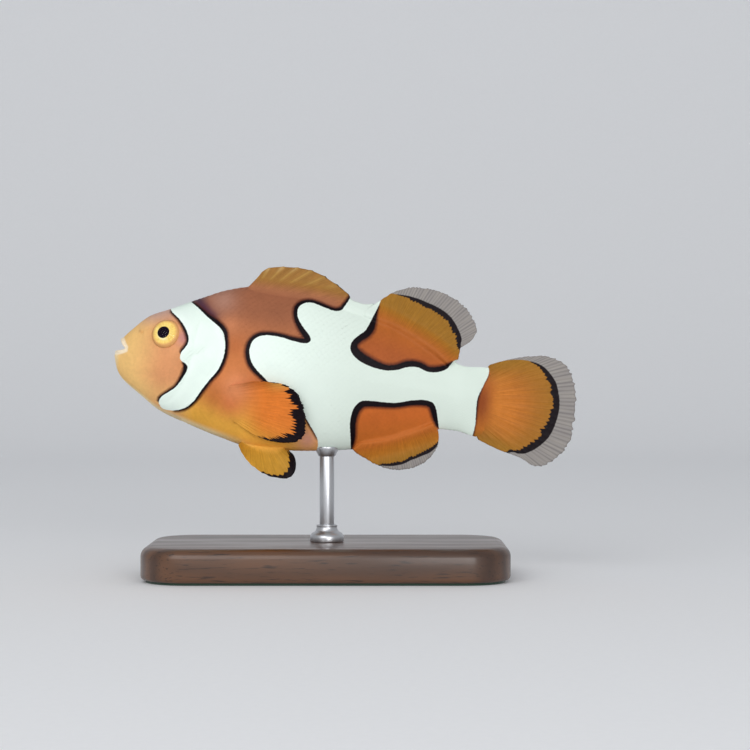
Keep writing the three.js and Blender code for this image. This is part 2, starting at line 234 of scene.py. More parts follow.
def past_line(line, spots):
    """How far back each spot lies from a line that runs down, at the spot's own height."""
    return spots[:, 0] - np.interp(-spots[:, 1], -line[:, 1], line[:, 0])


def behind_gills(spots):
    """Distance behind the gill opening, and below 0 ahead of it."""
    distance, _ = nearest_on(GILL_OPENING, spots)
    return np.where(past_line(GILL_OPENING, spots) > 0, distance, -distance)


def relief(points):
    """How far the skin stands proud of the plain body: gill covers, folds, nostrils and the eyes' rims."""
    lift = np.zeros(len(points))
    head = points[:, 0] < 24
    spots = side_view(points[head])
    gap = behind_gills(spots)
    open_part = ease(spots[:, 1], 10.5, 7) * ease(spots[:, 1], -9, -6.5)
    cover = GILL_COVER_RISE * ease(gap, -1.6, -0.1) * (gap <= 0)
    slit = -GILL_SLIT_DEPTH * np.exp(-gap / GILL_SLIT_FADE) * (gap > 0)
    raised = (cover + slit) * open_part
    for line, depth, width in FOLDS:
        raised -= depth * hump(nearest_on(line, spots)[0], width)
    nostril = size_of(spots - NOSTRIL)
    raised += 0.1 * hump(nostril - NOSTRIL_RIM, 0.16) - 0.4 * hump(nostril, 0.22)
    eye = size_of(points[head][:, [0, 2]] - EYE_RING)
    raised += 0.07 * hump(eye - EYE_RIM, 0.35) - 0.05 * hump(eye - EYE_FURROW, 0.4)
    lift[head] = raised
    return lift


def read_all(items, field, kind=np.int32, width=1):
    """One field of all vertices, faces or corners, with so many values in each."""
    values = np.empty(len(items) * width, kind)
    items.foreach_get(field, values)
    return values.reshape(-1, width) if width > 1 else values


def read_points(piece):
    return read_all(piece.data.vertices, "co", np.float32, 3).astype(float)


def write_points(piece, points):
    piece.data.vertices.foreach_set("co", np.asarray(points, np.float32).ravel())
    piece.data.update()


def take_up(piece):
    """Makes a piece the only one that operators act on."""
    bpy.ops.object.select_all(action="DESELECT")
    piece.select_set(True)
    bpy.context.view_layer.objects.active = piece


def edit(piece, kind="VERT", test=None):
    """Opens a piece for editing with all of it selected, or only what passes a test."""
    take_up(piece)
    bpy.ops.object.mode_set(mode="EDIT")
    bpy.ops.mesh.select_mode(type=kind)
    bpy.ops.mesh.select_all(action="DESELECT" if test else "SELECT")
    if test:
        bpy.ops.object.mode_set(mode="OBJECT")
        parts = {"VERT": piece.data.vertices, "EDGE": piece.data.edges, "FACE": piece.data.polygons}
        for part in parts[kind]:
            part.select = bool(test(part))
        bpy.ops.object.mode_set(mode="EDIT")


def end_edit():
    bpy.ops.object.mode_set(mode="OBJECT")


def named(name):
    """Names the primitive that was just added, and its mesh."""
    piece = bpy.context.object
    piece.name = name
    piece.data.name = name
    return piece


def new_sheet(name, rows, columns):
    """A flat grid of faces to be shaped, with each vertex's share along its rows and its columns."""
    bpy.ops.mesh.primitive_grid_add(x_subdivisions=rows, y_subdivisions=columns, size=2)
    sheet = named(name)
    share = (read_points(sheet)[:, :2] + 1) / 2
    return sheet, share[:, 0], share[:, 1]


def close_up(piece, reach=1e-4):
    """Welds the vertices that meet, and turns all faces out."""
    edit(piece)
    bpy.ops.mesh.remove_doubles(threshold=reach)
    bpy.ops.mesh.normals_make_consistent(inside=False)
    end_edit()


def mark_part(piece, part):
    """Writes on every face what it belongs to."""
    marks = piece.data.attributes.new("part", "INT", "FACE")
    marks.data.foreach_set("value", np.full(len(piece.data.polygons), part, np.int32))


def combine(piece, other, operation):
    """Joins another closed shape to the piece, or cuts it out of it."""
    take_up(piece)
    bpy.ops.object.modifier_add(type="BOOLEAN")
    step = piece.modifiers[-1]
    step.operation = operation
    step.solver = "MANIFOLD"
    step.object = other
    bpy.ops.object.modifier_apply(modifier=step.name)
    bpy.data.objects.remove(other)


last_ring = len(BODY_STATIONS) - 1
skin, ring_share, side_share = new_sheet("fish_skin", last_ring, BODY_SIDES)
ring = np.rint(ring_share * last_ring).astype(int)
station = BODY_STATIONS[ring]
turn = (side_share % 1) * 2 * math.pi - math.pi / 2
plain = body_point(station, turn)
from_end = np.minimum(ring, last_ring - ring)
rounding = np.sqrt(1 - (1 - np.minimum(from_end, END_RINGS) / END_RINGS) ** 2)[:, None]
centre = np.stack([station, 0 * station, widest_height(station)], axis=1)
shaped = centre + (plain - centre) * rounding
shaped += body_normal(station, turn) * (relief(plain) - COAT_DEPTH)[:, None] * rounding
write_points(skin, shaped)
close_up(skin)
mark_part(skin, BODY)

# ---- Mouth ------------------------------------------------------------------------------------------
# The mouth stands a little open: a wedge right across the snout with a shallow hollow behind it.
# Two fleshy pale lips run round its edges and meet at the corners; they are part of the same casting.

GAPE = [
    [1.9, 1.45], [1.5, 2.15], [1.12, 2.8], [0.8, 3.08], [0.3, 3.6], [-2, 5], [-2, 0.2], [0, 0.2],
    [0.3, 0.55], [0.7, 0.78], [1.25, 0.95],
]
GAPE_REACH = 6
HOLLOW_PLACE, HOLLOW_SIZE = (2.3, 0, 1.3), (1.7, 1.3, 0.75)
LIP_RADIUS = 0.36
LIP_STEPS, LIP_SIDES = 96, 20
LIP_PROBE = 0.05  # how far ahead and behind on a lip its direction is taken
UPPER_LIP = smooth_line([[1.08, 2.88], [1.18, 2.72], [1.44, 2.34], [1.68, 1.98], [2.0, 1.62]], 60)
LOWER_LIP = smooth_line([[0.38, 0.58], [0.64, 0.68], [1.0, 0.78], [1.4, 0.92], [2.0, 1.22]], 60)


def outlined(name, corners, fill):
    """A closed outline through corners in space, with or without a face over it."""
    bpy.ops.mesh.primitive_circle_add(vertices=len(corners), fill_type=fill)
    made = named(name)
    write_points(made, corners)
    return made


def ball(name, size, place=(0, 0, 0), segments=48, rings=32):
    """A closed ball stretched to a size, with its poles at its two sides."""
    bpy.ops.mesh.primitive_uv_sphere_add(segments=segments, ring_count=rings, radius=1)
    made = named(name)
    write_points(made, read_points(made)[:, [0, 2, 1]] * size + place)
    close_up(made)
    return made


def lip(name, line):
    """A tube round the snout, from the left corner of the mouth to the right one."""
    tube, along, around = new_sheet(name, LIP_STEPS, LIP_SIDES)
    side = np.linspace(-1, 1, 241)
    x, z = read_along(np.abs(side) ** 1.2, np.linspace(0, 1, len(line)), line).T
    inset = body_reach(x, z) - 0.6 * LIP_RADIUS
    y = np.sign(side) * inset * np.sin(np.minimum(np.abs(side) / 0.45, 1) * math.pi / 2)
    route = np.stack([x, y, z], axis=1)
    run = run_along(route)
    spots, ahead, behind = (
        read_along(along * run[-1] + probe, run, route) for probe in (0, LIP_PROBE, -LIP_PROBE)
    )
    way = ahead - behind
    out = np.cross(way, [0, 0, 1.0])
    out /= np.linalg.norm(out, axis=1, keepdims=True)
    over = np.cross(out, way)
    over /= np.linalg.norm(over, axis=1, keepdims=True)
    from_middle = np.abs(2 * along - 1)
    radius = LIP_RADIUS * np.sqrt(np.maximum(1 - from_middle**8, 0)) * (1 - 0.35 * from_middle**2)
    angle = (around % 1)[:, None] * 2 * math.pi
    write_points(tube, spots + radius[:, None] * (np.cos(angle) * out + 0.9 * np.sin(angle) * over))
    close_up(tube)
    mark_part(tube, LIPS)
    return tube


gape = outlined("gape", [[x, -GAPE_REACH, z] for x, z in GAPE], "NGON")
edit(gape)
bpy.ops.mesh.extrude_region_move(TRANSFORM_OT_translate={"value": (0, 2 * GAPE_REACH, 0)})
end_edit()
close_up(gape)
hollow = ball("hollow", HOLLOW_SIZE, HOLLOW_PLACE)
for cutter in (gape, hollow):
    mark_part(cutter, MOUTH)
    combine(skin, cutter, "DIFFERENCE")
for name, line in (("upper_lip", UPPER_LIP), ("lower_lip", LOWER_LIP)):
    combine(skin, lip(name, line), "UNION")

# ---- Eye sockets ------------------------------------------------------------------------------------
# The skin is open round each eyeball, which turns a little up and forward. The rim of the opening grips
# the ball, so that no gap shows.

EYE_PLACE = (8.74, 3.58, 4.78)
EYE_RADIUS, EYE_DEPTH = 2.6, 1.48
EYE_UP, EYE_FORWARD = math.radians(17.5), math.radians(17)
SOCKET_GRIP = 0.04
LEFT, RIGHT = -1, 1


def eye_frame(side):
    """Turns the eye's own axes, where the eye looks along y to its side, to the fish's."""
    turned = Matrix.Rotation(side * EYE_FORWARD, 4, "Z") @ Matrix.Rotation(side * EYE_UP, 4, "X")
    return Matrix.Translation((EYE_PLACE[0], side * EYE_PLACE[1], EYE_PLACE[2])) @ turned


for side in (LEFT, RIGHT):
    socket = ball("socket", np.array([EYE_RADIUS, EYE_DEPTH, EYE_RADIUS]) - SOCKET_GRIP)
    mark_part(socket, ORBIT)
    socket.data.transform(eye_frame(side))
    combine(skin, socket, "DIFFERENCE")

# ---- Fins -------------------------------------------------------------------------------------------
# Each fin is a thin membrane held by rays, thick at its muscular root. Spines stay single; soft rays
# fork on their way out and fray the fin's edge. They grow from the body without a seam.

COLUMNS_PER_RAY = 8
ROOT_HALF, MEMBRANE_HALF, RAY_HEIGHT = 0.42, 0.11, 0.08
FOOT_HALF = 1.5  # how much a fin on the midline widens to its foot
EDGE_ROUNDING = 0.16
COLUMN_ROUNDING = 0.12  # what each column counts for, in the rounding of a fin's first and last ray

# In side view: base is the line that a fin grows from, inside the body, and edge its outer line, both
# from the front or top. Paired fins also stand out from the fish's middle.
FIN_SHAPES = {
    "dorsal_fin_spiny": {
        "base": [[22, 13.5], [30, 13.6], [37, 13], [42.6, 12.2]],
        "edge": [
            [21.1, 14.75], [22.6, 16.8], [23.3, 17.9], [24.5, 18.7], [27, 19.2], [30.5, 19.35],
            [33.3, 18.8], [35.6, 17.75], [37.4, 16.8], [38.7, 15.8], [39.1, 15.25], [40, 14.95],
            [41.3, 14.75], [43, 15.05],
        ],
        "rays": 11, "rows": 18, "fray": 0.02, "spines": True, "lean": 3,
    },
    "dorsal_fin_soft": {
        "base": [[41.6, 12.4], [47, 11], [53, 8.2], [57.2, 6]],
        "edge": [
            [41.4, 13.3], [42.4, 14.4], [43.3, 15.2], [44.4, 16.15], [46.3, 17.6], [49.3, 18.8],
            [52.8, 18.9], [56.6, 17.9], [59.5, 15.9], [61.1, 13.4], [60.9, 11.8], [60.1, 10.6],
            [58.95, 9.9], [58.75, 8.6], [58.7, 7.5],
        ],
        "rays": 15, "rows": 28, "fray": 0.03,
    },
    "anal_fin": {
        "base": [[44, -8.8], [48, -7.4], [53, -5], [56, -3.6]],
        "edge": [
            [42.6, -10.2], [43.6, -10.95], [45.2, -11.6], [47.2, -12.4], [50.2, -12.9], [53, -12.3],
            [55.5, -10.8], [57, -8.6], [57.3, -6.7], [57, -5.2],
        ],
        "rays": 13, "rows": 22, "fray": 0.03,
    },
    "caudal_fin": {
        "base": [[62.9, 5.8], [63.2, 3], [63.2, -1], [62.8, -4.2]],
        "edge": [
            [64.2, 7.4], [67.4, 8.8], [71.2, 9.9], [74.2, 10.2], [76.9, 9.35], [78.8, 7.1], [79.8, 3.7],
            [80, 0], [79.7, -3.8], [78.2, -6.6], [75.9, -8.5], [73.9, -8.8], [71.6, -7.8], [67.6, -6.9],
            [64, -5.7],
        ],
        "rays": 17, "rows": 40, "fray": 0.025,
    },
    "pectoral_fin": {
        "base": [[20.2, -2.6], [20.1, -4.6], [20.6, -6.6], [21.4, -8]],
        "edge": [
            [24.6, -1], [27, -0.75], [30, -0.75], [31.3, -1.3], [32.7, -2.25], [33.6, -3.5], [34.2, -5.1],
            [34.65, -7], [34.7, -8.5], [34.2, -9.6], [32.6, -10.45], [30.3, -10.75], [28.2, -10.6],
            [25.6, -9.9],
        ],
        "rays": 16, "rows": 30, "fray": 0.03,
        "out": lambda up, across: (
            5.9 + 1.7 * up + 0.4 * up**2 - 1.6 * across * (1 + up) - 0.9 * ease(up, 0.12, 0)
        ),
    },
    "pelvic_fin": {
        "base": [[23.8, -11.2], [25.8, -11.6], [28.3, -11.7], [31, -11.5]],
        "edge": [
            [23.5, -12.2], [24.4, -13.6], [25.8, -15], [27.1, -15.75], [28.7, -16.55], [30.8, -16.85],
            [32.6, -16.7], [33.45, -15.9], [33.5, -14.4], [33, -13], [32.3, -12.4],
        ],
        "rays": 6, "rows": 24, "fray": 0.04,
        "out": lambda up, across: 1.1 + 2.9 * up * (1 - 0.25 * across),
    },
}
MIDLINE_FINS = ("dorsal_fin_spiny", "dorsal_fin_soft", "anal_fin")


def beyond_body(x, z):
    """How far a place in side view lies outside the body's back or belly."""
    return np.maximum(z - back(x), belly(x) - z)


def ray_ridge(shape, across, up):
    """The height of the rays over the membrane, from 0 to 1."""
    ray = across * (shape["rays"] - 1)
    fork = 0 if shape.get("spines") else 0.25 * ease(up, 0.3, 0.75)
    return hump(np.abs(ray - np.rint(ray)) - fork, 0.13)


def fin_spots(shape, across, up):
    """Side-view places in a fin, for the share across it and the share up it, and its height there."""
    steps = np.linspace(0, 1, 201)
    root = read_along(across ** shape.get("lean", 1), steps, smooth_line(shape["base"], 200))
    tip = read_along(across, steps, smooth_line(shape["edge"], 200))
    return root + (tip - root) * up[:, None], size_of(tip - root)


def fin_face(name, shape, side, face):
    """One face of a fin as a sheet, bulging to its own side of the fin's middle."""
    columns = COLUMNS_PER_RAY * (shape["rays"] - 1)
    sheet, row, across = new_sheet(name, shape["rows"], columns)
    share = 1 - (1 - row) ** 1.4
    if shape.get("spines"):
        fray = shape["fray"] * (1 - ray_ridge(shape, across, np.ones_like(across)))
    else:
        torn = np.random.default_rng(columns).uniform(0, shape["fray"], columns + 1)
        fray = torn[np.rint(across * columns).astype(int)]
    up = share * (1 - fray * ease(share, 0.8, 1))
    spots, length = fin_spots(shape, across, up)
    if name in MIDLINE_FINS:
        foot = FOOT_HALF * (1 - ease(beyond_body(spots[:, 0], spots[:, 1]), -1.2, 2.2))
    else:
        foot = (ROOT_HALF - MEMBRANE_HALF) * (1 - ease(up, -0.1, 0.3))
    rays = RAY_HEIGHT * ray_ridge(shape, across, up) * (1 - 0.8 * up) * ease(up, 0.1, 0.45)
    half = MEMBRANE_HALF + foot + rays
    to_edge = np.minimum((1 - share) * length, np.minimum(across, 1 - across) * columns * COLUMN_ROUNDING)
    to_edge = np.minimum(to_edge, share * length)
    half *= np.sqrt(np.clip(to_edge / EDGE_ROUNDING, 0, 1))
    middle = side * shape["out"](up, across) if side else 0
    write_points(sheet, np.stack([spots[:, 0], middle + face * half, spots[:, 1]], axis=1))
    return sheet, np.stack([across * (shape["rays"] - 1), up, across], axis=1)


fin_guides = {}
for fin_name, fin_shape in FIN_SHAPES.items():
    for side in (LEFT, RIGHT) if "out" in fin_shape else (0,):
        part = FINS + len(fin_guides)
        near, guide = fin_face(fin_name, fin_shape, side, LEFT)
        far, _ = fin_face(fin_name, fin_shape, side, RIGHT)
        fin_guides[part] = (read_points(near), guide, fin_name)
        take_up(near)
        far.select_set(True)
        bpy.ops.object.join()
        close_up(near)
        mark_part(near, part)
        combine(skin, near, "UNION")

# ---- Skin: seams, markings and finish ---------------------------------------------------------------
# The cast is faired where fins meet the body, then painted as the live fish: orange flanks, a white bar
# behind the head, a white middle that reaches the tail, black edges, and grey margins on the fins.

# The outlines of the white in side view. The third value of each corner is the width of the black edge.
BAR = [
    [7.5, 12.4, 0], [8.45, 9.5, 0.05], [8.75, 8.85, 0.2], [9.4, 8.35, 0.25], [10.25, 7.7, 0.3],
    [11.05, 6.9, 0.4], [11.7, 6, 0.43], [12.2, 5, 0.42], [12.35, 4.2, 0.38], [12.05, 3.2, 0.35],
    [11.45, 2.3, 0.28], [11.25, 1.6, 0], [11.35, 0.9, 0], [11.8, 0.5, 0.1], [12.4, 0.25, 0.55],
    [12.8, -0.4, 0.75], [12.6, -1.3, 0.6], [11.9, -2.8, 0.38], [11.2, -4, 0.32], [10.1, -5, 0.3],
    [9.1, -5.85, 0.28], [8.75, -6.5, 0.28], [8.75, -7.1, 0], [9.5, -7.9, 0], [10.8, -8.05, 0],
    [12, -7.85, 0.2], [13.48, -7.15, 0.3], [14.68, -5.8, 0.35], [15.65, -3.9, 0.42], [16.8, -1.9, 0.42],
    [18, 0, 0.48], [18.6, 2, 0.5], [18.7, 3.8, 0.5], [18.45, 5.3, 0.55], [17.88, 6.7, 0.7],
    [16.48, 7.8, 0.7], [14.88, 8.8, 0.5], [13.28, 10, 0.35], [11.75, 11, 0.25], [10.2, 12.6, 0],
]
SADDLE_EDGE = [
    [39.4, 17.5, 0], [38.7, 15.2, 0.35], [38.1, 13.9, 0.5], [37.6, 13.1, 0.55], [36.4, 12.8, 0.5],
    [34.7, 13.15, 0.5], [33.4, 13.5, 0.5], [31.9, 13.65, 0.5], [30.7, 13.1, 0.6], [30.15, 12.2, 0.65],
    [30.4, 10.8, 0.7], [31.4, 9.4, 0.85], [32.7, 8.1, 1.1], [33.1, 7.2, 1.3], [32.3, 6.6, 0.9],
    [30.2, 6.7, 0.65], [27.6, 7.1, 0.55], [25.2, 7, 0.55], [23.7, 6.3, 0.6], [22.95, 4.9, 0.65],
    [23.1, 3.1, 0.7], [24.1, 1.4, 0.7], [26.4, -0.5, 0.5], [29.6, -2.9, 0.35], [33.3, -5.3, 0.25],
    [35.2, -7.5, 0.16], [36.4, -9.1, 0.12], [36.8, -10.4, 0], [36.8, -14, 0],
]
ANAL_EDGE = [
    [42.4, -14, 0], [42.5, -11, 0], [42.45, -9.9, 0.35], [42.15, -8.2, 0.85], [41.75, -6, 1],
    [41.85, -4, 1.1], [42.35, -2.7, 1.15], [43.4, -1.8, 1.1], [45.5, -1.6, 0.95], [48.9, -1.4, 0.8],
    [51.6, -0.6, 0.85], [54, -0.2, 0.95], [55.4, -0.5, 1], [56.1, -1.5, 1], [56.5, -2.8, 0.85],
    [56.9, -4.2, 0.4], [57.1, -4.9, 0], [58.2, -6.8, 0],
]
CAUDAL_EDGE = [
    [62.6, -8, 0], [62.9, -5.2, 0.12], [63.1, -3.3, 0.1], [62.9, -0.5, 0.16], [62.9, 1.5, 0.16],
    [63.5, 3.5, 0.08], [64.1, 5.3, 0.1], [64.2, 6.3, 0.04], [63.6, 7.4, 0], [61.5, 9.3, 0], [60.2, 9, 0],
]
SOFT_DORSAL_EDGE = [
    [59, 7.6, 0], [58, 7.2, 0], [57.4, 6.3, 0.45], [56.8, 5.5, 0.8], [55.3, 4.8, 0.95], [53.6, 4.7, 0.9],
    [52, 5.2, 0.95], [50.3, 5, 1.05], [48.3, 4.2, 0.95], [46.4, 3.9, 1], [44, 4.2, 1.3], [41.9, 4.9, 1.45],
    [40.5, 5.9, 1.4], [40, 7, 1.25], [40.2, 8.1, 1.1], [41.1, 9.2, 1.1], [42, 10, 1.15],
    [42.6, 11.2, 1.15], [43.35, 13.35, 0.45], [43.95, 15.2, 0.05], [44.6, 18, 0],
]
WHITE_BAR = smooth_line([*BAR, BAR[0]], 150)
WHITE_MIDDLE = np.concatenate([
    smooth_line(SADDLE_EDGE, 170), smooth_line(ANAL_EDGE, 80), smooth_line(CAUDAL_EDGE, 40),
    smooth_line(SOFT_DORSAL_EDGE, 110), [SADDLE_EDGE[0]],
])
FAR_OFF = -20.0  # mm from an edge that a part doesn't have

# Across each fin: where the outer side of its black band lies on the way up, and the band's width in mm.
FIN_BANDS = {
    "dorsal_fin_spiny": (
        [[0, 1.05], [1, 1.03]],
        [[0.42, 0], [0.48, 0.42], [0.62, 0.5], [0.76, 0.5], [0.82, 0.3], [0.85, 0], [1, 0]],
    ),
    "dorsal_fin_soft": (
        [[0, 1.1], [0.16, 1.04], [0.22, 0.9], [0.31, 0.785], [0.46, 0.72], [0.6, 0.71], [0.75, 0.66],
         [0.83, 0.65], [0.875, 0.72], [0.92, 0.97], [1, 1.04]],
        [[0.21, 0], [0.3, 0.35], [0.41, 0.8], [0.58, 1.0], [0.73, 1.0], [0.83, 0.8], [0.88, 0.45],
         [0.93, 0.3], [0.97, 0]],
    ),
    "anal_fin": (
        [[0, 1.1], [0.26, 1.03], [0.31, 0.94], [0.4, 0.88], [0.5, 0.83], [0.6, 0.78], [0.68, 0.79],
         [0.76, 0.86], [0.9, 0.98], [1, 1.1]],
        [[0.25, 0], [0.32, 0.4], [0.6, 0.6], [0.82, 0.6], [0.93, 0]],
    ),
    "caudal_fin": (
        [[0, 1.0], [0.06, 0.95], [0.14, 0.86], [0.22, 0.79], [0.3, 0.78], [0.36, 0.8], [0.48, 0.82],
         [0.58, 0.79], [0.66, 0.76], [0.76, 0.74], [0.83, 0.84], [0.9, 1.02], [1, 1.1]],
        [[0.19, 0], [0.24, 0.45], [0.29, 0.75], [0.35, 1.15], [0.43, 1.45], [0.52, 1.5], [0.6, 1.5],
         [0.68, 1.4], [0.76, 1.0], [0.84, 0.6], [0.91, 0]],
    ),
    "pectoral_fin": (
        [[0, 1.1], [1, 1.1]],
        [[0.04, 0], [0.07, 1.1], [0.2, 1.55], [0.26, 2.0], [0.31, 3.0], [0.4, 3.4], [0.5, 3.7],
         [0.62, 4.0], [0.72, 3.9], [0.8, 3.1], [0.87, 2.0], [0.94, 1.1], [0.98, 0]],
    ),
    "pelvic_fin": (
        [[0, 1.05], [1, 1.05]],
        [[0.36, 0], [0.42, 0.65], [0.52, 0.8], [0.62, 1.0], [0.72, 1.5], [0.8, 1.6], [0.9, 1.4], [1, 0.9]],
    ),
}
TOOTH_SPREAD = 0.1  # how much the teeth of a black band differ, in mm


def shade(red, green, blue):
    """A colour as it is seen, 0 to 255, in the light values that materials hold."""
    seen = np.array([red, green, blue]) / 255
    return np.where(seen <= 0.04045, seen / 12.92, ((seen + 0.055) / 1.055) ** 2.4)


FLANK, BACK, BELLY = shade(202, 122, 70), shade(152, 95, 68), shade(222, 165, 66)
CHEEK, SNOUT, FOREHEAD = shade(217, 152, 104), shade(230, 186, 118), shade(192, 156, 142)
CREAM, PLUM, MAUVE = shade(244, 224, 178), shade(72, 40, 62), shade(186, 126, 136)
EMBER, EMBER_LOW, FIN_MID = shade(168, 88, 42), shade(194, 101, 42), shade(178, 103, 40)
SPINY_GOLD, PECTORAL, PELVIC = shade(150, 106, 50), shade(217, 120, 46), shade(198, 146, 51)
SALMON, PALE_RAY, OLIVE = shade(226, 146, 100), shade(232, 198, 104), shade(150, 104, 31)
TAIL_RED, TAIL_MID, FIN_FOOT = shade(136, 62, 26), shade(194, 116, 42), shade(196, 132, 46)
SPINY_ROOT, PAINTED_UNDERSIDE_LIGHT, RUST_SPOT = shade(164, 106, 72), shade(243, 178, 76), shade(196, 104, 62)
LIP, FLESH_IN_SHADE, PINK = shade(246, 232, 206), shade(120, 62, 50), shade(214, 152, 128)
WHITE, INK = shade(237, 250, 241), shade(14, 3, 10)
GREY_MARGIN, GREY_RAY = shade(124, 119, 117), shade(142, 137, 134)
BODY_SPOTS = (  # soft spots on the flank: the colour and its share, then x, z and the radius
    # The salmon spot at x 22, on the pectoral fin's root, is a painted highlight.
    (RUST_SPOT, 0.75, 21.2, -5.2, 2.4), (SALMON, 0.85, 22, -2.4, 2.2), (SALMON, 0.4, 19.4, 8, 1.7),
    (FOREHEAD, 0.4, 17.4, 12, 2.4), (EMBER, 0.45, 20.8, 4.4, 1.9), (EMBER, 0.5, 18.2, -4.6, 1.8),
    # The light gold spot low on the belly, at x 26.5, is painted light where the pectoral fin shades the
    # belly.
    # The pink spot on the belly, at x 35, is the belly's orange painted as it looks in shade: painted shade.
    (BACK * 0.75, 0.25, 27, 12.3, 3), (PAINTED_UNDERSIDE_LIGHT, 0.6, 26.5, -10.6, 2.6), (PINK, 0.95, 35, -9.6, 2.2),
)
PLUM_STREAK = smooth_line([[12.1, 12.2], [13.6, 10.9], [14.9, 9.7], [16, 8.8]], 12)


def inside(loop, spots):
    """Which side-view spots lie inside a closed line."""
    x, z = spots.T
    within = np.zeros(len(spots), bool)
    for (x0, z0), (x1, z1) in zip(loop[:, :2], loop[1:, :2]):
        if z0 != z1:
            within ^= ((z0 > z) != (z1 > z)) & (x < x0 + (z - z0) * (x1 - x0) / (z1 - z0))
    return within


def around(points, x, z, radius):
    """1 at a place in side view, fading to 0 past its radius."""
    return hump(size_of(points[:, [0, 2]] - [x, z]), radius)


def tail_rust(x, z):
    """The share of deep rust where the tail fin springs from its stem."""
    return 0.9 * ease(x, 60.5, 62.4) * ease(x, 66.6, 63.7) * hump(z - 0.8, 4.8)


def painted(colour, *coats):
    """Lays coats over a colour in turn, each a colour with its share at each point."""
    for coat, share in coats:
        colour = colour + (coat - colour) * np.clip(share, 0, 1)[:, None]
    return colour


def body_pigment(points):
    """The orange part of the coat, from a rust back to a golden belly and a paler face."""
    x, _, z = points.T
    spots = points[:, [0, 2]]
    middle, height, _ = half_section(x, z > widest_height(x))
    rise = (z - middle) / height
    rear = painted(
        EMBER,
        (EMBER_LOW, ease(z, 2, -1)),
        (FIN_MID, 0.6 * ease(np.abs(rise), 0.45, 1)),
    )
    face = painted(
        CHEEK,
        (SNOUT, ease(x, 9.5, 2.5) + 0.5 * ease(z, -2, -6)),
        (FOREHEAD, 0.95 * ease(rise, 0.6, 1) * ease(x, 2.5, 6.5)),
        (MAUVE, 0.75 * around(points, 12.0, 4.6, 1.3)),
    )
    streak, upper_lip, lower_lip = (
        nearest_on(line, spots)[0] for line in (PLUM_STREAK, UPPER_LIP, LOWER_LIP)
    )
    return painted(
        FLANK,
        (BACK, 0.95 * ease(rise, 0, 0.75)),
        # The belly's gold is laid on a little light. Low on the belly, where it turns down into shade, the
        # colour is lighter still: painted light.
        (BELLY, ease(rise, -0.25, -0.85)),
        (PAINTED_UNDERSIDE_LIGHT, 0.8 * ease(rise, -0.7, -0.95) * ease(x, 14, 20)),
        *((colour, share * around(points, *spot)) for colour, share, *spot in BODY_SPOTS),
        (rear, ease(x, 36, 39)),
        (TAIL_MID, ease(x, 60.5, 61.5)),
        (OLIVE, 0.7 * ease(x, 62, 63.5) * ease(z, -3.5, -5)),
        (TAIL_RED, tail_rust(x, z)),
        (face, ease(x, 15.5, 11)),
        (PLUM, 0.95 * hump(streak, 1.15)),
        # A thin cream line along the lower edge of chin and belly is a painted highlight.
        (CREAM, 0.85 * ease(rise, -0.88, -0.97) * ease(x, 27, 18)),
        (CREAM, 0.7 * ease(x, 1.4, 0.35)),
        # The nostril's pit is painted darker at its middle: painted shade.
        (FLESH_IN_SHADE, 0.5 * around(points, *NOSTRIL, 0.2)),
        (LIP, 0.85 * ease(np.minimum(upper_lip, lower_lip), 0.62, 0.32)),
    )


def fin_pigment(name, points, up, across):
    """The coloured part of a fin, from its root out."""
    x, _, z = points.T
    body = body_pigment(points)
    beyond = beyond_body(x, z)
    middle_part = hump(across - 0.5, 0.3)
    ray = across * (FIN_SHAPES[name]["rays"] - 1)
    spine = hump(ray - np.rint(ray), 0.16) * ease(beyond, 1, 2.2)
    coats = {
        "dorsal_fin_spiny": (
            (SPINY_ROOT, ease(beyond, -1.5, 0.5)),
            (SPINY_GOLD, ease(beyond, -0.3, 1.9)),
            (PALE_RAY, 0.15 * spine * ease(across, 0.9, 0.6)),
            (CREAM, 0.16 * spine * ease(up, 0.75, 0.95) * ease(across, 0.55, 0.3)),
        ),
        "dorsal_fin_soft": (
            (FIN_MID, ease(beyond, -0.8, 2)),
            (OLIVE, ease(beyond, -0.8, 2.6)),
        ),
        "anal_fin": (
            (FIN_MID, ease(beyond, -0.8, 2)),
            (TAIL_MID, ease(beyond, -0.3, 1)),
            (OLIVE, ease(beyond, 0, 3.6)),
        ),
        "caudal_fin": (
            (OLIVE, np.ones_like(up)),
            (FIN_MID, ease(up, 0.95, 0.2) * middle_part),
            (TAIL_MID, 0.9 * ease(up, 0.6, 0.25) * middle_part),
            (TAIL_MID, 0.7 * ease(up, 0.25, 0.05)),
            (TAIL_RED, tail_rust(x, z)),
        ),
        "pectoral_fin": (
            (PECTORAL, np.ones_like(up)),
            (FLANK, ease(up, 0.35, 0)),
            (EMBER, 0.3 * around(points, 22.5, -5, 1.6)),
            # The fin's lower front is painted the belly's gold, a little darker as painted shade, so that
            # the lit fin matches the shaded belly beside it.
            (FIN_FOOT, 0.9 * ease(across, 0.5, 0.95) * ease(up, 1.6, 0.9)),
            (OLIVE, 0.45 * ease(across, 0.35, 0.05) * ease(x, 25.5, 28)),
            (PALE_RAY, 0.8 * ease(across, 0.34, 0.05) * ease(x, 26.5, 29.5)),
            # The fin's root and upper front take the body's colours, with the painted highlight on its root.
            (body, np.maximum(ease(up, 0.42, 0.04), 0.85 * ease(x, 27.5, 22.5))),
        ),
        "pelvic_fin": (
            (PELVIC, np.ones_like(up)),
            (OLIVE, 0.5 * ease(up, 0.4, 1) * ease(across, 0.2, 0.8)),
            (body, ease(up, 0.3, 0.02)),
        ),
    }
    return painted(body, *coats[name])


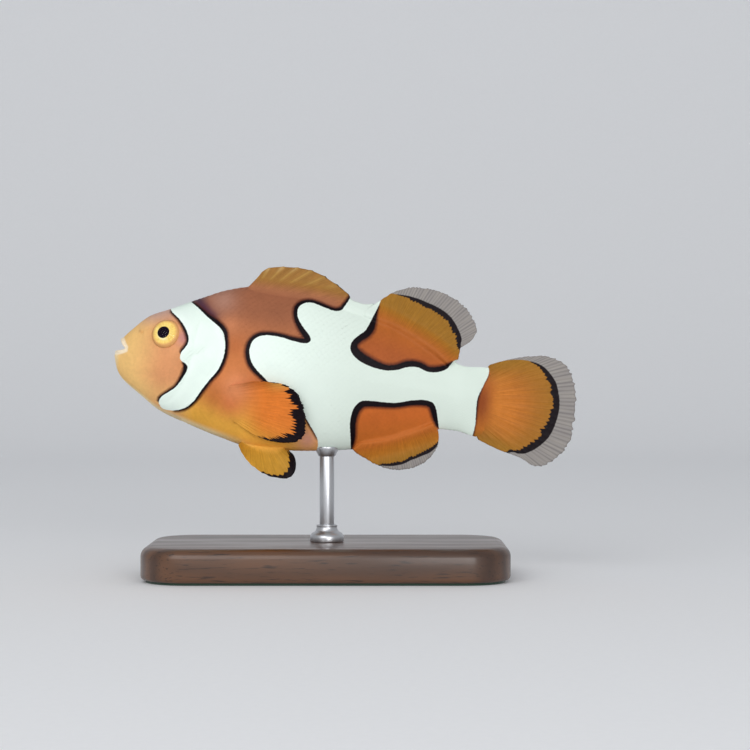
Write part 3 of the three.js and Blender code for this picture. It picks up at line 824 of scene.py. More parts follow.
def markings(points):
    """What the finish reads at each point: pigment, distance inside the white, and the black's width."""
    spots = side_view(points)
    white, ink = np.full(len(points), FAR_OFF), np.zeros(len(points))
    for area in (WHITE_BAR, WHITE_MIDDLE):
        distance, values = nearest_on(area, spots)
        distance = np.where(inside(area, spots), distance, -distance)
        closer = distance > white
        white[closer], ink[closer] = distance[closer], values[closer, 2]
    fields = {"pigment": body_pigment(points), "white": white, "ink": ink}
    fields["rim"] = np.full(len(points), FAR_OFF)
    for name in ("band", "ray", "up", "fan"):
        fields[name] = np.zeros(len(points))
    return fields


def face_corners(piece):
    """For each corner of the faces, its face and its vertex."""
    sizes = read_all(piece.data.polygons, "loop_total")
    return np.repeat(np.arange(len(sizes)), sizes), read_all(piece.data.loops, "vertex_index")


def write_markings(piece, fields):
    """Keeps the markings on the piece's vertices, where its material reads them."""
    for name, values in fields.items():
        if name == "pigment":
            layer = piece.data.attributes.new(name, "FLOAT_COLOR", "POINT")
            solid = np.concatenate([values, np.ones((len(values), 1))], axis=1)
            layer.data.foreach_set("color", solid.astype(np.float32).ravel())
        else:
            layer = piece.data.attributes.new(name, "FLOAT", "POINT")
            layer.data.foreach_set("value", np.asarray(values, np.float32))


def shade_smooth(piece):
    piece.data.polygons.foreach_set("use_smooth", np.ones(len(piece.data.polygons), bool))


face_part = read_all(skin.data.attributes["part"].data, "value")
corner_face, corner_vertex = face_corners(skin)
touches_body = np.zeros(len(skin.data.vertices), bool)
touches_body[corner_vertex[face_part[corner_face] < FINS]] = True
vertex_part = np.zeros(len(skin.data.vertices), np.int32)
np.maximum.at(vertex_part, corner_vertex, face_part[corner_face])

# The seams are faired by smoothing the vertices on and next to them, a little further out each time.
seam = touches_body & (vertex_part != BODY) & (vertex_part != ORBIT)
edit(skin, "VERT", lambda vertex: seam[vertex.index])
for strength, rounds in ((0.5, 5), (0.5, 3), (0.35, 2)):
    bpy.ops.mesh.select_more()
    bpy.ops.mesh.vertices_smooth(factor=strength, repeat=rounds)
end_edit()
shade_smooth(skin)

skin_points = read_points(skin)
skin_fields = markings(skin_points)
tooth_draws = np.random.default_rng(7)
for part, (guide_points, guide, fin_name) in fin_guides.items():
    fin_shape = FIN_SHAPES[fin_name]
    own = np.flatnonzero(vertex_part == part)
    own_points = skin_points[own]
    guide_tree = KDTree(len(guide_points))
    for i, point in enumerate(guide_points):
        guide_tree.insert(point * [1, 0, 1], i)
    guide_tree.balance()
    nearest = np.array([guide_tree.find(point * [1, 0, 1])[1] for point in own_points])
    ray, up, across = guide[nearest].T
    edge_line, width_line = (smooth_profile(line) for line in FIN_BANDS[fin_name])
    _, length = fin_spots(fin_shape, across, up)
    uneven = tooth_draws.normal(0, 1, fin_shape["rays"] * 2 + 2)
    teeth = uneven[np.rint(ray * 2).astype(int)] * TOOTH_SPREAD
    width = width_line(across)
    proud = np.maximum(
        beyond_body(own_points[:, 0], own_points[:, 2]),
        np.abs(own_points[:, 1]) - body_reach(own_points[:, 0], own_points[:, 2]),
    )
    skin_fields["rim"][own] = (up - edge_line(across)) * length + TOOTH_SPREAD * teeth
    skin_fields["band"][own] = width * np.where(width > 0.02, 1 + 1.2 * teeth, 1)
    skin_fields["ray"][own] = ray
    skin_fields["up"][own] = up if fin_name == "caudal_fin" else up * ease(proud, 0.1, 1.1)
    skin_fields["pigment"][own] = fin_pigment(fin_name, own_points, up, across)
    if "out" in fin_shape:
        skin_fields["white"][own] = FAR_OFF
# Inside the mouth the flesh is painted darker the deeper it lies: painted shade.
in_mouth = vertex_part == MOUTH
mouth_x, mouth_y, mouth_z = skin_points[in_mouth].T
inward = body_reach(mouth_x, mouth_z) - np.abs(mouth_y)
deep = ease(inward, 0.3, 1.1) * ease(mouth_x, 0.45, 0.9)
flesh = skin_fields["pigment"]
flesh[in_mouth] = painted(flesh[in_mouth], (FLESH_IN_SHADE, deep))
write_markings(skin, skin_fields)

# The length up the body's side, from the belly's middle to each turn, at stations all along the body.
ARC_X = np.linspace(0, BODY_STATIONS[-1], 333)
ARC_TURN = np.linspace(-math.pi / 2, math.pi / 2, 181)
ARC_SHARE = np.linspace(0, 1, 201)
arc_spots = body_point(ARC_X[:, None], ARC_TURN[None, :])
arc_steps = size_of(np.diff(arc_spots, axis=1))
ARC_LENGTH = np.concatenate([np.zeros((len(ARC_X), 1)), np.cumsum(arc_steps, axis=1)], axis=1)
TURN_AT = np.stack([np.interp(ARC_SHARE, row / row[-1], ARC_TURN) for row in ARC_LENGTH])


def look_up(table, x, share):
    """A table's value at x on the fish and at a share of its columns, read between its entries."""
    r = np.clip(x / ARC_X[-1], 0, 1) * (table.shape[0] - 1.001)
    c = np.clip(share, 0, 1) * (table.shape[1] - 1.001)
    i, j = r.astype(int), c.astype(int)
    top = table[i, j] * (1 - c + j) + table[i, j + 1] * (c - j)
    bottom = table[i + 1, j] * (1 - c + j) + table[i + 1, j + 1] * (c - j)
    return top * (1 - r + i) + bottom * (r - i)


def height_up_side(points):
    """The length up the body's side from the middle of the belly to each point."""
    turn = body_turn(points * [1, 0, 1] + np.abs(points) * [0, 1, 0])
    return look_up(ARC_LENGTH, points[:, 0], turn / math.pi + 0.5)


def write_map(piece, spots):
    """Keeps one place on the bake's map for each corner of the faces."""
    layer = piece.data.uv_layers.new(name="OFBake")
    layer.data.foreach_set("uv", np.asarray(spots, np.float32).ravel())


# The skin's own unwrap: both sides of the body unrolled at one scale, and the faces of each fin beside
# them, set in rows on one sheet.
SHEET_WIDTH, SHEET_GAP = 98.0, 1.0
for layer in list(skin.data.uv_layers):
    skin.data.uv_layers.remove(layer)
corner_points = skin_points[corner_vertex]
face_normal = read_all(skin.data.polygons, "normal", np.float32, 3)
face_y = np.bincount(corner_face, weights=corner_points[:, 1]) / np.bincount(corner_face)
facing = np.where(face_part >= FINS, face_normal[:, 1], face_y)
corner_key = (face_part * 2 + (facing > 0))[corner_face]
flat = corner_points[:, [0, 2]].copy()
on_side = face_part[corner_face] == BODY
flat[on_side, 1] = height_up_side(corner_points[on_side])
spots = np.zeros_like(flat)
islands = []
for key in np.unique(corner_key):
    chosen = corner_key == key
    low, high = flat[chosen].min(0), flat[chosen].max(0)
    islands.append((high[1] - low[1], high[0] - low[0], chosen, low))
islands.sort(key=lambda island: -island[0])
pen, shelf, shelf_height = SHEET_GAP, SHEET_GAP, 0
for tall, wide, chosen, low in islands:
    if pen + wide + SHEET_GAP > SHEET_WIDTH:
        pen, shelf, shelf_height = SHEET_GAP, shelf + shelf_height + SHEET_GAP, 0
    spots[chosen] = flat[chosen] - low + [pen, shelf]
    pen += wide + SHEET_GAP
    shelf_height = max(shelf_height, tall)
write_map(skin, spots / max(SHEET_WIDTH, shelf + shelf_height + SHEET_GAP))


def is_socket(feed):
    return isinstance(feed, bpy.types.NodeSocket)


def shader_node(kind, feeds=None, out=0, tree=None, **settings):
    """The output of a new shader node, set as asked and fed with values or with other nodes' outputs."""
    feeds = feeds or {}
    for feed in filter(is_socket, feeds.values()):
        tree = feed.id_data
    made = tree.nodes.new("ShaderNode" + kind)
    for name, value in settings.items():
        setattr(made, name, value)
    for place, feed in feeds.items():
        if is_socket(feed):
            tree.links.new(feed, made.inputs[place])
        else:
            made.inputs[place].default_value = feed
    return made.outputs[out]


def reckon(operation, *values):
    return shader_node("Math", dict(enumerate(values)), operation=operation)


def times(value, other):
    return reckon("MULTIPLY", value, other)


def step_between(value, low, high, start=0.0, end=1.0):
    """start below low, end above high, and a soft step between them."""
    feeds = {0: value, 1: low, 2: high, 3: start, 4: end}
    return shader_node("MapRange", feeds, interpolation_type="SMOOTHSTEP")


def mixed(share, colour, other):
    """Passes from one colour to another. Each is a shade or another node's output."""
    first, second = (feed if is_socket(feed) else (*feed, 1.0) for feed in (colour, other))
    return shader_node("Mix", {0: share, 6: first, 7: second}, 2, data_type="RGBA")


def vector_math(operation, *vectors, out=0):
    return shader_node("VectorMath", dict(enumerate(vectors)), out, operation=operation)


def read_field(tree, name, out="Fac"):
    return shader_node("Attribute", None, out, tree, attribute_name=name)


def own_place(tree, scale=(1, 1, 1)):
    """The place on the object, stretched."""
    place = shader_node("TexCoord", None, "Object", tree)
    return place if scale == (1, 1, 1) else shader_node("Mapping", {"Vector": place, "Scale": scale})


def noise(vector, scale, detail=2.0, roughness=0.5):
    feeds = {"Vector": vector, "Scale": scale, "Detail": detail, "Roughness": roughness}
    return shader_node("TexNoise", feeds, "Fac")


def new_material(name, **values):
    """A material and its main shader, with the plain values set on the shader's own sockets."""
    material = bpy.data.materials.new(name)
    material.use_nodes = True
    tree = material.node_tree
    shader = tree.nodes["Principled BSDF"]
    for socket, value in values.items():
        shader.inputs[socket.replace("_", " ")].default_value = value
    return material, tree, shader


def wire_up(shader, colour, roughness=None, relief=None, strength=0.5, depth=0.0):
    """Feeds a main shader with its colour and, where given, its roughness and relief."""
    feeds = {"Base Color": colour, "Roughness": roughness}
    if relief is not None:
        feeds["Normal"] = shader_node("Bump", {"Height": relief, "Strength": strength, "Distance": depth})
    for socket, feed in feeds.items():
        if feed is not None:
            shader.id_data.links.new(feed, shader.inputs[socket])


def fish_paint(name, grain):
    """Satin paint on resin. grain is the depth of the finest relief, in metres."""
    material, tree, shader = new_material(name, IOR=1.45, Specular_IOR_Level=0.13)
    place = own_place(tree)
    white, ink, rim, band, ray, up, fan = (
        read_field(tree, field) for field in ("white", "ink", "rim", "band", "ray", "up", "fan")
    )

    # Orange varies softly from place to place, and streaks along the rays of the fins.
    cloud = noise(place, 260, 4, 0.6)
    fleck = noise(place, 1900, 3, 0.6)
    on_fin = step_between(up, 0.03, 0.2)
    along_ray = shader_node("CombineXYZ", {0: times(ray, 6), 1: up})
    streak = noise(along_ray, 1.6, 3, 0.65)
    branch = times(reckon("PINGPONG", times(ray, 4), 0.5), 2)
    value = step_between(cloud, 0.3, 0.7, 0.95, 1.06)
    value = reckon("ADD", value, step_between(fleck, 0.35, 0.75, 0.02, -0.05))
    value = reckon("MULTIPLY_ADD", step_between(streak, 0.3, 0.7, -0.12, 0.12), on_fin, value)
    pigment = read_field(tree, "pigment", "Color")
    colour = shader_node("HueSaturation", {"Value": value, "Color": pigment})

    # The black edge lies on the orange side of the white, crisp to the white and soft to the orange.
    ragged = reckon("MULTIPLY_ADD", noise(place, 2600), 0.16, -0.08)
    edge = reckon("ADD", white, ragged)
    outer = times(ink, -1)
    inked = step_between(ink, 0.02, 0.16)
    dusk = step_between(edge, reckon("MULTIPLY_ADD", outer, 1.35, -0.35), outer, 0, 0.8)
    colour = mixed(times(dusk, inked), colour, shade(74, 30, 24))
    line = step_between(edge, reckon("SUBTRACT", outer, 0.14), reckon("ADD", outer, 0.16))
    colour = mixed(times(line, inked), colour, INK)
    # The white is greyed in soft random patches. Towards the tail it turns a little greyer as painted shade.
    shadow = step_between(noise(place, 420, 3), 0.4, 0.75, 0, 0.12)
    milk = mixed(shadow, WHITE, shade(208, 222, 218))
    along = shader_node("SeparateXYZ", {0: place})
    milk = mixed(step_between(along, -0.018, 0.004), milk, shade(217, 229, 219))
    colour = mixed(step_between(edge, -0.05, 0.05), colour, milk)

    # Past the black band of a fin its edge is grey, with fine pale rays. The band's inner side
    # reaches in along the rays as teeth.
    uneven = noise(along_ray, 1.1)
    tooth = times(reckon("PINGPONG", reckon("MULTIPLY_ADD", ray, 3, 0.25), 0.5), 2)
    tooth = times(tooth, step_between(uneven, 0.3, 0.7, 0.5, 1.5))
    past = reckon("MULTIPLY_ADD", uneven, 0.16, reckon("SUBTRACT", rim, 0.08))
    margin = mixed(step_between(branch, 0.35, 0.75), GREY_RAY, GREY_MARGIN)
    margin = mixed(step_between(streak, 0.4, 0.7, 0, 0.6), margin, shade(160, 154, 146))
    inner = times(band, reckon("MULTIPLY_ADD", tooth, -0.22, -0.85))
    banded = step_between(band, 0.02, 0.15)
    in_band = step_between(past, reckon("SUBTRACT", inner, 0.1), reckon("ADD", inner, 0.1))
    colour = mixed(times(in_band, banded), colour, INK)
    colour = mixed(step_between(past, -0.05, 0.1), colour, margin)

    # Fine relief: pebbled skin, rays and their joints on the fins, and grooves that fan over each scale.
    joints = reckon("SINE", times(up, 260))
    grooves = reckon("SINE", times(fan, 34))
    rayed = times(reckon("MULTIPLY_ADD", joints, 0.08, 0.38), reckon("SUBTRACT", 1, branch))
    height = reckon("MULTIPLY_ADD", rayed, on_fin, fleck)
    height = reckon("MULTIPLY_ADD", grooves, 0.06, height)
    wire_up(shader, colour, step_between(fleck, 0.3, 0.7, 0.4, 0.52), height, 0.5, grain)
    return material


MM = 0.001
NOSE_UP = math.radians(8)
BLOCK_EYES = (8.98, 0, 4.66)  # the middle of the frame's eyes on the fish
eye_boxes = np.array([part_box("eye_left"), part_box("eye_right")])
eyes_middle = (eye_boxes[:, 0].min(0) + eye_boxes[:, 1].max(0)) / 2
FISH_FRAME = (
    Matrix.Translation(eyes_middle)
    @ Matrix.Rotation(NOSE_UP, 4, "Y")
    @ Matrix.Scale(MM, 4)
    @ Matrix.Translation(-Vector(BLOCK_EYES))
)


def dress(piece, material):
    """Gives a piece its only material."""
    piece.data.materials.clear()
    piece.data.materials.append(material)


skin.data.attributes.remove(skin.data.attributes["part"])
skin.data.transform(FISH_FRAME)
dress(skin, fish_paint("painted_skin", 0.00003))
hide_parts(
    "upper_jaw", "lower_jaw", "head", "gill_cover_left", "gill_cover_right", "trunk", "tail_stem",
    "dorsal_fin_spiny", "dorsal_fin_soft", "anal_fin", "caudal_fin", "pectoral_fin_left",
    "pectoral_fin_right", "pelvic_fin_left", "pelvic_fin_right",
)
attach(skin, "root")

# ---- Scales -----------------------------------------------------------------------------------------
# Thin rounded plates rooted in the skin, each over the one behind it like a roof tile. They are large on
# the trunk, small on the gill covers and cheeks, and missing from the snout and round the eyes.

TRUNK_ROWS, FACE_ROWS = 26, 38
TRUNK_PITCH = smooth_profile([[12, 0.46], [20, 0.54], [38, 0.54], [50, 0.46], [64, 0.34]])
FACE_PITCH = smooth_profile([[4, 0.36], [20, 0.36]])
SCALE_LENGTH, SCALE_WIDTH = 2.4, 1.06  # in pitches of the columns and of the rows
SCALE_ROOT, SCALE_TIP, SCALE_THICKNESS, SCALE_CROWN = -0.03, 0.05, 0.022, 0.01
SCALE_FAN = math.radians(60)  # half the arc of a scale's round rear edge
UNEVEN = 0.05  # how much the scales differ in size, and in place by their pitch
PATCH = 0.003  # the side of one scale's place on the bake's map
MAP_WIDTH, MAP_EDGE = 70.0, 2
BARE_LINE = smooth_line([
    [7.5, 12], [6.2, 8.2], [4.9, 5.5], [5.2, 2.4], [4.6, -0.5], [5.4, -4], [6.5, -9],
], 40)


def scale_template():
    """One scale: shares along and across it, and lift, for each vertex, with the corners of its faces."""
    sheet, along, across = new_sheet("scale", 3, 4)
    across = across * 2 - 1
    corners = np.array([list(face.vertices) for face in sheet.data.polygons])
    rim = (along < 0.01) | (along > 0.99) | (np.abs(across) > 0.99)
    under = np.flatnonzero(~rim)
    below = np.arange(len(along))
    below[under] = len(along) + np.arange(len(under))
    bottom = below[corners][:, ::-1]
    order = np.concatenate([np.arange(len(along)), under])
    drop = np.concatenate([np.zeros(len(along)), np.full(len(under), -SCALE_THICKNESS)])
    bpy.data.objects.remove(sheet)
    return along[order], across[order], drop, np.concatenate([corners, bottom])


def scale_column(draws, x, shift, rows, pitch, on_face):
    """The scales rooted at one x: x, share up the side, length, width and how much each rises."""
    share = (np.arange(rows) + 0.25 + 0.5 * shift) / rows
    share = share[share < 0.99]
    same_x = np.full(len(share), x)
    rooted = body_point(same_x, look_up(TURN_AT, same_x, share))
    spots = side_view(rooted)
    gap = behind_gills(spots)
    past_bare = past_line(BARE_LINE, spots)
    from_eye = size_of(rooted[:, [0, 2]] - EYE_RING)
    kept = gap > 0.15
    if on_face:
        kept = (gap < -0.8) & (past_bare > 0) & (from_eye > EYE_FURROW)
    size = 1 + draws.uniform(-UNEVEN, UNEVEN, len(share))
    start = x + draws.uniform(-UNEVEN, UNEVEN, len(share)) * pitch
    width = SCALE_WIDTH * look_up(ARC_LENGTH, same_x, np.ones_like(share)) / rows * size
    length = SCALE_LENGTH * pitch * size
    under_dorsal = ease(x, 20.5, 22.5) * ease(x, 60, 58)
    under_anal = ease(x, 42, 44) * ease(x, 58, 56)
    under_fin = np.where(rooted[:, 2] > 0, under_dorsal, under_anal)
    rise = 0.2 + 0.8 * ease(past_bare, 0, 3.5) * ease(from_eye, 3, 4.5)
    rise *= 1 - under_fin * (1 - ease(np.abs(rooted[:, 1]), 0.9, 2.4))
    return np.stack([start, share, length, width, rise], axis=1)[kept]


def place_scales(draws):
    """All scales of one side, column by column: first the face's, then the trunk's."""
    roots = []
    for rows, pitch_at, x, last_x, on_face in (
        (FACE_ROWS, FACE_PITCH, 4.5, 19.5, True), (TRUNK_ROWS, TRUNK_PITCH, 12.0, 64.0, False),
    ):
        shift = 0
        while x < last_x:
            pitch = float(pitch_at(x))
            roots.append(scale_column(draws, x, shift, rows, pitch, on_face))
            x += pitch
            shift = 1 - shift
    return np.concatenate(roots)


def lay_scales(name, side, roots):
    """All scales of one side as one mesh, each bent to the body's surface."""
    along, across, drop, corners = scale_template()
    count = len(along)
    start, share, length, width, rise = (column[:, None] for column in roots.T)
    fan = across * SCALE_FAN
    bulge = across * (0.75 + 0.25 * np.minimum(along * 3, 1))
    bulge = np.where(along > 0.99, np.sin(fan), bulge)
    x = start + length * along * (0.45 + 0.55 * np.cos(fan))
    side_length = look_up(ARC_LENGTH, start, np.ones_like(start))
    turn = look_up(TURN_AT, x, share + 0.5 * width * bulge / side_length)
    root_turn = look_up(TURN_AT, roots[:, 0], roots[:, 1])
    on_relief = relief(body_point(roots[:, 0], root_turn))[:, None] - COAT_DEPTH
    lift = SCALE_ROOT + rise * ((SCALE_TIP - SCALE_ROOT) * along - SCALE_CROWN * across**2) + drop
    points = body_point(x, turn) + body_normal(x, turn) * (lift + on_relief)[..., None]
    points = points.reshape(-1, 3)
    fields = markings(points)
    fields["fan"] = np.tile(across * (1 - 0.5 * along), len(roots))
    faces = (corners[None] + np.arange(len(roots))[:, None, None] * count).reshape(-1, 4)
    faces = faces if side == LEFT else faces[:, ::-1]
    mesh = bpy.data.meshes.new(name)
    mesh.from_pydata((points * [1, side, 1]).tolist(), [], faces.tolist())
    piece = bpy.data.objects.new(name, mesh)
    bpy.context.scene.collection.objects.link(piece)
    take_up(piece)
    bpy.ops.object.shade_smooth_by_angle(angle=math.radians(50))
    write_markings(piece, fields)
    height = look_up(ARC_LENGTH, roots[:, 0], root_turn / math.pi + 0.5)
    root_place = np.stack([roots[:, 0] + MAP_EDGE, height + MAP_EDGE], axis=1) / MAP_WIDTH
    in_patch = np.stack([along - 0.5, across * 0.5], axis=1) * PATCH
    _, corner_vertex = face_corners(piece)
    write_map(piece, root_place[corner_vertex // count] + in_patch[corner_vertex % count])
    piece.data.transform(FISH_FRAME)
    return piece


scale_roots = place_scales(np.random.default_rng(11))
scale_paint = fish_paint("painted_scales", 0.000015)
for name, side in (("scales_left", LEFT), ("scales_right", RIGHT)):
    scales = lay_scales(name, side, scale_roots)
    dress(scales, scale_paint)
    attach(scales, "root")

# ---- Eyes -------------------------------------------------------------------------------------------
# Each eye is a painted ball behind a clear dome. The gold iris is a flat plate, a little dished round the
# pupil, which lies a little forward of its middle, and the black lens stands out of it.

BALL_RADIUS, BALL_DEPTH = 2.58, 1.43
PUPIL_RADIUS, PLATE_RADIUS = 1.06, 2.1
PUPIL_PLACE = (-0.28, 0.06)  # on the plate, forward and up from its middle
PLATE_HEIGHT, DISH_DEPTH, LENS_HEIGHT = 0.84, 0.1, 0.3
EYE_SEGMENTS, EYE_RINGS = 72, 64


def eye_surface(name, radius, depth):
    """A smooth ball that looks along y."""
    eye = ball(name, (radius, depth, radius), segments=EYE_SEGMENTS, rings=EYE_RINGS)
    shade_smooth(eye)
    return eye


eye_material, tree, shader = new_material(
    "painted_iris", IOR=1.4, Specular_IOR_Level=0.1, Roughness=0.5
)
spot = read_field(tree, "spot", "Vector")
flat_spot = vector_math("MULTIPLY", spot, (1, 0, 1))
from_axis = vector_math("LENGTH", flat_spot, out="Value")
rays = noise(vector_math("NORMALIZE", flat_spot), 9, 4, 0.7)
soft = noise(spot, 1.6, 3, 0.6)
gold = mixed(step_between(rays, 0.35, 0.65), shade(246, 210, 112), shade(252, 226, 138))
gold = mixed(step_between(soft, 0.45, 0.75, 0, 0.5), gold, shade(226, 178, 84))
low_front = vector_math("DOT_PRODUCT", spot, (-0.6, 0, -0.8), out="Value")
pale = times(step_between(from_axis, 1.55, 1.1), step_between(low_front, 0.0, 0.9))
gold = mixed(pale, gold, shade(250, 238, 182))
gold = mixed(step_between(from_axis, 1.7, 2.3), gold, shade(222, 168, 108))
pupil_spot = vector_math("SUBTRACT", flat_spot, (PUPIL_PLACE[0], 0, PUPIL_PLACE[1]))
from_pupil = vector_math("LENGTH", pupil_spot, out="Value")
wobbly = reckon("MULTIPLY_ADD", rays, 0.1, reckon("SUBTRACT", from_pupil, 0.05))
in_pupil = step_between(wobbly, PUPIL_RADIUS + 0.03, PUPIL_RADIUS - 0.03)
wire_up(shader, mixed(in_pupil, gold, shade(14, 3, 22)), None, rays, 0.4, 0.00003)

# The dome shows only its own gloss over the iris.
dome_material = bpy.data.materials.new("clear_dome")
dome_material.use_nodes = True
tree = dome_material.node_tree
tree.nodes.remove(tree.nodes["Principled BSDF"])
gloss = shader_node("BsdfGlossy", {"Color": (1, 1, 1, 1), "Roughness": 0.04}, tree=tree)
clear = shader_node("BsdfTransparent", {"Color": (1, 1, 1, 1)}, tree=tree)
facing_light = shader_node("Fresnel", {"IOR": 1.13}, tree=tree)
dome_surface = shader_node("MixShader", {0: facing_light, 1: clear, 2: gloss})
tree.links.new(dome_surface, tree.nodes["Material Output"].inputs["Surface"])

for side, word in ((LEFT, "left"), (RIGHT, "right")):
    eyeball = eye_surface("eyeball_" + word, BALL_RADIUS, BALL_DEPTH)
    points = read_points(eyeball)
    layer = eyeball.data.attributes.new("spot", "FLOAT_VECTOR", "POINT")
    layer.data.foreach_set("vector", points.astype(np.float32).ravel())
    on_plate = (size_of(points[:, [0, 2]]) < PLATE_RADIUS) & (points[:, 1] * side > 0)
    from_pupil = size_of(points[:, [0, 2]] - PUPIL_PLACE)
    dish = DISH_DEPTH * ease(from_pupil, 1.8, PUPIL_RADIUS + 0.1)
    lens = LENS_HEIGHT * np.sqrt(np.clip(1 - (from_pupil / PUPIL_RADIUS) ** 2, 0, 1))
    points[on_plate, 1] = side * (PLATE_HEIGHT - dish + lens)[on_plate]
    write_points(eyeball, points)
    dome = eye_surface("eye_dome_" + word, EYE_RADIUS, EYE_DEPTH)
    for piece, material in ((eyeball, eye_material), (dome, dome_material)):
        piece.data.transform(FISH_FRAME @ eye_frame(side))
        dress(piece, material)
        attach(piece, "root")
    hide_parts("eye_" + word)

# ---- Stand: base ------------------------------------------------------------------------------------
# A block of dark stained walnut with round corners, a stepped and rounded moulding along its upper edge
# and a satin lacquer. A sheet of felt is glued under it.

FELT = 0.0004
STEP_IN, STEP_DOWN = 0.0011, 0.0009
CORNER, CORNER_STEPS = 0.008, 10
EDGE_ROUND, EDGE_STEPS = 0.0007, 3
FELT_INSET, FELT_LAP = 0.0009, 0.0001
base_low, base_high = (np.array(corner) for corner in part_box("stand_base"))


def round_block(name, low, high, corner):
    """A block between two corners with its upright edges rounded."""
    bpy.ops.mesh.primitive_cube_add(size=1)
    block = named(name)
    write_points(block, (low + high) / 2 + read_points(block) * (high - low))

    def upright(edge):
        foot, head = (block.data.vertices[i].co for i in edge.vertices)
        return abs(foot.z - head.z) > 1e-5

    edit(block, "EDGE", upright)
    bpy.ops.mesh.bevel(offset=corner, segments=CORNER_STEPS, affect="EDGES")
    end_edit()
    return block


def soften(piece, width, steps, angle=30):
    """Rounds the sharp edges, and shades the rest smooth."""
    take_up(piece)
    bpy.ops.object.modifier_add(type="BEVEL")
    bevel = piece.modifiers[-1]
    bevel.width = width
    bevel.segments = steps
    bevel.limit_method = "ANGLE"
    bevel.angle_limit = math.radians(angle)
    bpy.ops.object.modifier_apply(modifier=bevel.name)
    bpy.ops.object.shade_smooth_by_angle(angle=math.radians(angle))


def faces_up(face):
    return face.normal.z > 0.9


block = round_block("stand_block", base_low + [0, 0, FELT], base_high, CORNER)
edit(block, "FACE", faces_up)
bpy.ops.mesh.inset(thickness=STEP_IN, depth=0)
end_edit()
top_face = max(filter(faces_up, block.data.polygons), key=lambda face: face.area)
block_points = read_points(block)
lowered = np.abs(block_points[:, 2] - base_high[2]) < 1e-6
lowered[list(top_face.vertices)] = False
block_points[lowered, 2] -= STEP_DOWN
write_points(block, block_points)
soften(block, EDGE_ROUND, EDGE_STEPS)

wood, tree, shader = new_material(
    "stained_walnut", IOR=1.5, Coat_Weight=0.35, Coat_Roughness=0.18, Coat_IOR=1.5
)
grain_place = own_place(tree, (22, 150, 150))
bent = noise(grain_place, 1.2, 3, 0.55)
wave = {"Vector": grain_place, "Scale": 0.8, "Distortion": 5.0, "Detail": 3.0, "Detail Scale": 1.2}
rings = shader_node("TexWave", wave, "Fac", bands_direction="Y")
pores = noise(own_place(tree, (260, 3200, 3200)), 1.0, 2, 0.6)
walnut = mixed(rings, shade(70, 44, 28), shade(98, 64, 40))
walnut = mixed(step_between(bent, 0.4, 0.7, 0, 0.6), walnut, shade(54, 33, 21))
walnut = mixed(step_between(pores, 0.56, 0.72, 0, 0.75), walnut, shade(32, 19, 12))
wire_up(shader, walnut, step_between(bent, 0.3, 0.7, 0.3, 0.44), pores, 0.25, 0.00004)
dress(block, wood)
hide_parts("stand_base")
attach(block, "root")

inset = np.array([FELT_INSET, FELT_INSET, 0])
felt_top = np.array([base_high[0], base_high[1], base_low[2] + FELT + FELT_LAP])
felt = round_block("stand_felt", base_low + inset, felt_top - inset, CORNER - FELT_INSET)
felt_cloth, tree, shader = new_material(
    "green_felt", Roughness=0.95, Sheen_Weight=0.4, Sheen_Roughness=0.5
)
nap = noise(own_place(tree), 5200, 3, 0.7)
wire_up(shader, mixed(nap, shade(28, 46, 38), shade(52, 78, 64)), None, nap, 0.5, 0.0001)
dress(felt, felt_cloth)
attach(felt, "root")

# ---- Stand: collar and rod --------------------------------------------------------------------------
# The steel rod stands in a turned collar on the base, and ends in a small cup glued to the belly. All
# three are turned on a lathe and finely brushed round.

TURNED_STEPS = 64
CUP_RADIUS, CUP_HEIGHT, CUP_OVER_ROD = 0.0021, 0.0017, 0.0008
ROD_UNDER_CUP_TOP, ROD_IN_BASE = 0.0002, 0.0005
collar_low, collar_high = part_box("stand_collar")
rod_low, rod_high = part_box("stand_rod")
rod_axis = ((rod_low.x + rod_high.x) / 2, 0, 0)
rod_radius = (rod_high.x - rod_low.x) / 2
bore = rod_radius * 0.9  # of the collar and the cup, so that no gap shows round the rod


def turned(name, foot, scale, outline):
    """A closed outline of radius and height, in its own scale over a foot, spun round the rod's axis."""
    corners = [[rod_axis[0] + radius, 0, foot + height * scale] for radius, height in outline]
    made = outlined(name, corners, "NOTHING")
    edit(made)
    bpy.ops.mesh.spin(steps=TURNED_STEPS, angle=2 * math.pi, center=rod_axis, axis=(0, 0, 1))
    bpy.ops.mesh.delete_loose()
    end_edit()
    close_up(made, 1e-6)
    return made


steel, tree, shader = new_material("brushed_steel", Metallic=1.0)
brushing = noise(own_place(tree, (30, 30, 12000)), 1.0, 2, 0.6)
brushed = mixed(brushing, shade(188, 190, 194), shade(206, 207, 210))
wire_up(shader, brushed, step_between(brushing, 0.2, 0.8, 0.3, 0.4), brushing, 0.1, 0.000004)

base_top = base_high[2]
reach = (collar_high.x - collar_low.x) / 2
collar = turned("stand_turned_collar", base_top, collar_high.z - base_top, [
    (bore, 0), (reach, 0), (reach, 0.34), (0.9 * reach, 0.5), (0.68 * reach, 0.62), (0.6 * reach, 0.86),
    (0.64 * reach, 1), (bore, 1),
])
cup_top = rod_high.z + CUP_OVER_ROD
cup = turned("stand_cup", cup_top, CUP_HEIGHT, [
    (bore, -1), (1.15 * rod_radius, -1), (1.3 * rod_radius, -0.75), (CUP_RADIUS, -0.2), (CUP_RADIUS, 0),
    (bore, 0),
])
bpy.ops.mesh.primitive_cylinder_add(vertices=TURNED_STEPS, radius=rod_radius, depth=1)
rod = named("stand_steel_rod")
rod_points = read_points(rod)
rod_points[:, 0] += rod_axis[0]
rod_points[:, 2] = np.where(rod_points[:, 2] > 0, cup_top - ROD_UNDER_CUP_TOP, base_top - ROD_IN_BASE)
write_points(rod, rod_points)
for piece, width in ((collar, 0.00018), (cup, 0.00012), (rod, 0.0001)):
    soften(piece, width, 2)
    dress(piece, steel)
    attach(piece, "root")
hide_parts("stand_collar")
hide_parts("stand_rod")

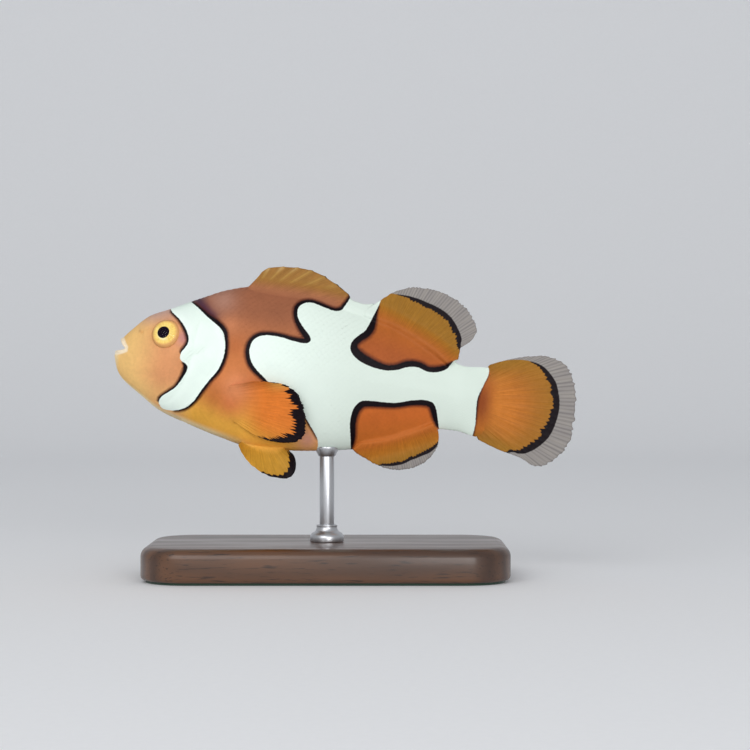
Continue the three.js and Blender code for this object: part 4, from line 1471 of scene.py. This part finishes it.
# ---- Floor, light and camera ------------------------------------------------------------------------
# A pale studio sweep, a large soft lamp above and in front, a weaker one from the other side, and an even
# pale surround, so that colours show about as they are painted.

SWEEP_FRONT, SWEEP_BACK, SWEEP_RADIUS, SWEEP_TOP = -1.2, 0.5, 0.3, 1.6
SWEEP_HALF, SWEEP_TURNS = 1.6, 16
curve = [(SWEEP_FRONT, 0.0)]
for step in range(SWEEP_TURNS + 1):
    angle = step / SWEEP_TURNS * math.pi / 2
    curve.append((SWEEP_BACK + SWEEP_RADIUS * math.sin(angle), SWEEP_RADIUS * (1 - math.cos(angle))))
curve.append((SWEEP_BACK + SWEEP_RADIUS, SWEEP_TOP))
sweep, across, along = new_sheet("studio_sweep", 1, len(curve) - 1)
depth, height = np.array(curve)[np.rint(along * (len(curve) - 1)).astype(int)].T
write_points(sweep, np.stack([(across * 2 - 1) * SWEEP_HALF, depth, height], axis=1))
shade_smooth(sweep)
paper, tree, shader = new_material("pale_paper", Roughness=0.9)
wire_up(shader, mixed(noise(own_place(tree), 900), shade(240, 241, 243), shade(244, 245, 247)))
dress(sweep, paper)

world = bpy.data.worlds.new("surround")
world.use_nodes = True
surround = world.node_tree.nodes["Background"]
surround.inputs["Color"].default_value = (*shade(250, 252, 255), 1.0)
surround.inputs["Strength"].default_value = 0.5
bpy.context.scene.world = world


def lamp(name, place, aim, size, watts):
    """A square soft lamp that looks at a point."""
    bpy.ops.object.light_add(type="AREA", location=place)
    made = bpy.context.object
    made.name = name
    made.data.size = size
    made.data.energy = watts
    made.rotation_euler = (Vector(aim) - Vector(place)).to_track_quat("-Z", "Y").to_euler()


VIEW_MIDDLE = (0.0051, 0, 0.0346)
VIEW_DISTANCE, LENS = 0.358, 100
lamp("key_lamp", (-0.3, -0.75, 0.42), VIEW_MIDDLE, 0.6, 2.7)
lamp("fill_lamp", (0.22, -0.75, 0.12), VIEW_MIDDLE, 0.34, 2.1)
camera_place = (VIEW_MIDDLE[0], -VIEW_DISTANCE, VIEW_MIDDLE[2])
bpy.ops.object.camera_add(location=camera_place, rotation=(math.pi / 2, 0, 0))
camera = bpy.context.object
camera.data.lens = LENS
camera.data.sensor_width = 36
camera.data.clip_start = 0.01
bpy.context.scene.camera = camera
bpy.context.scene.view_settings.view_transform = "Standard"
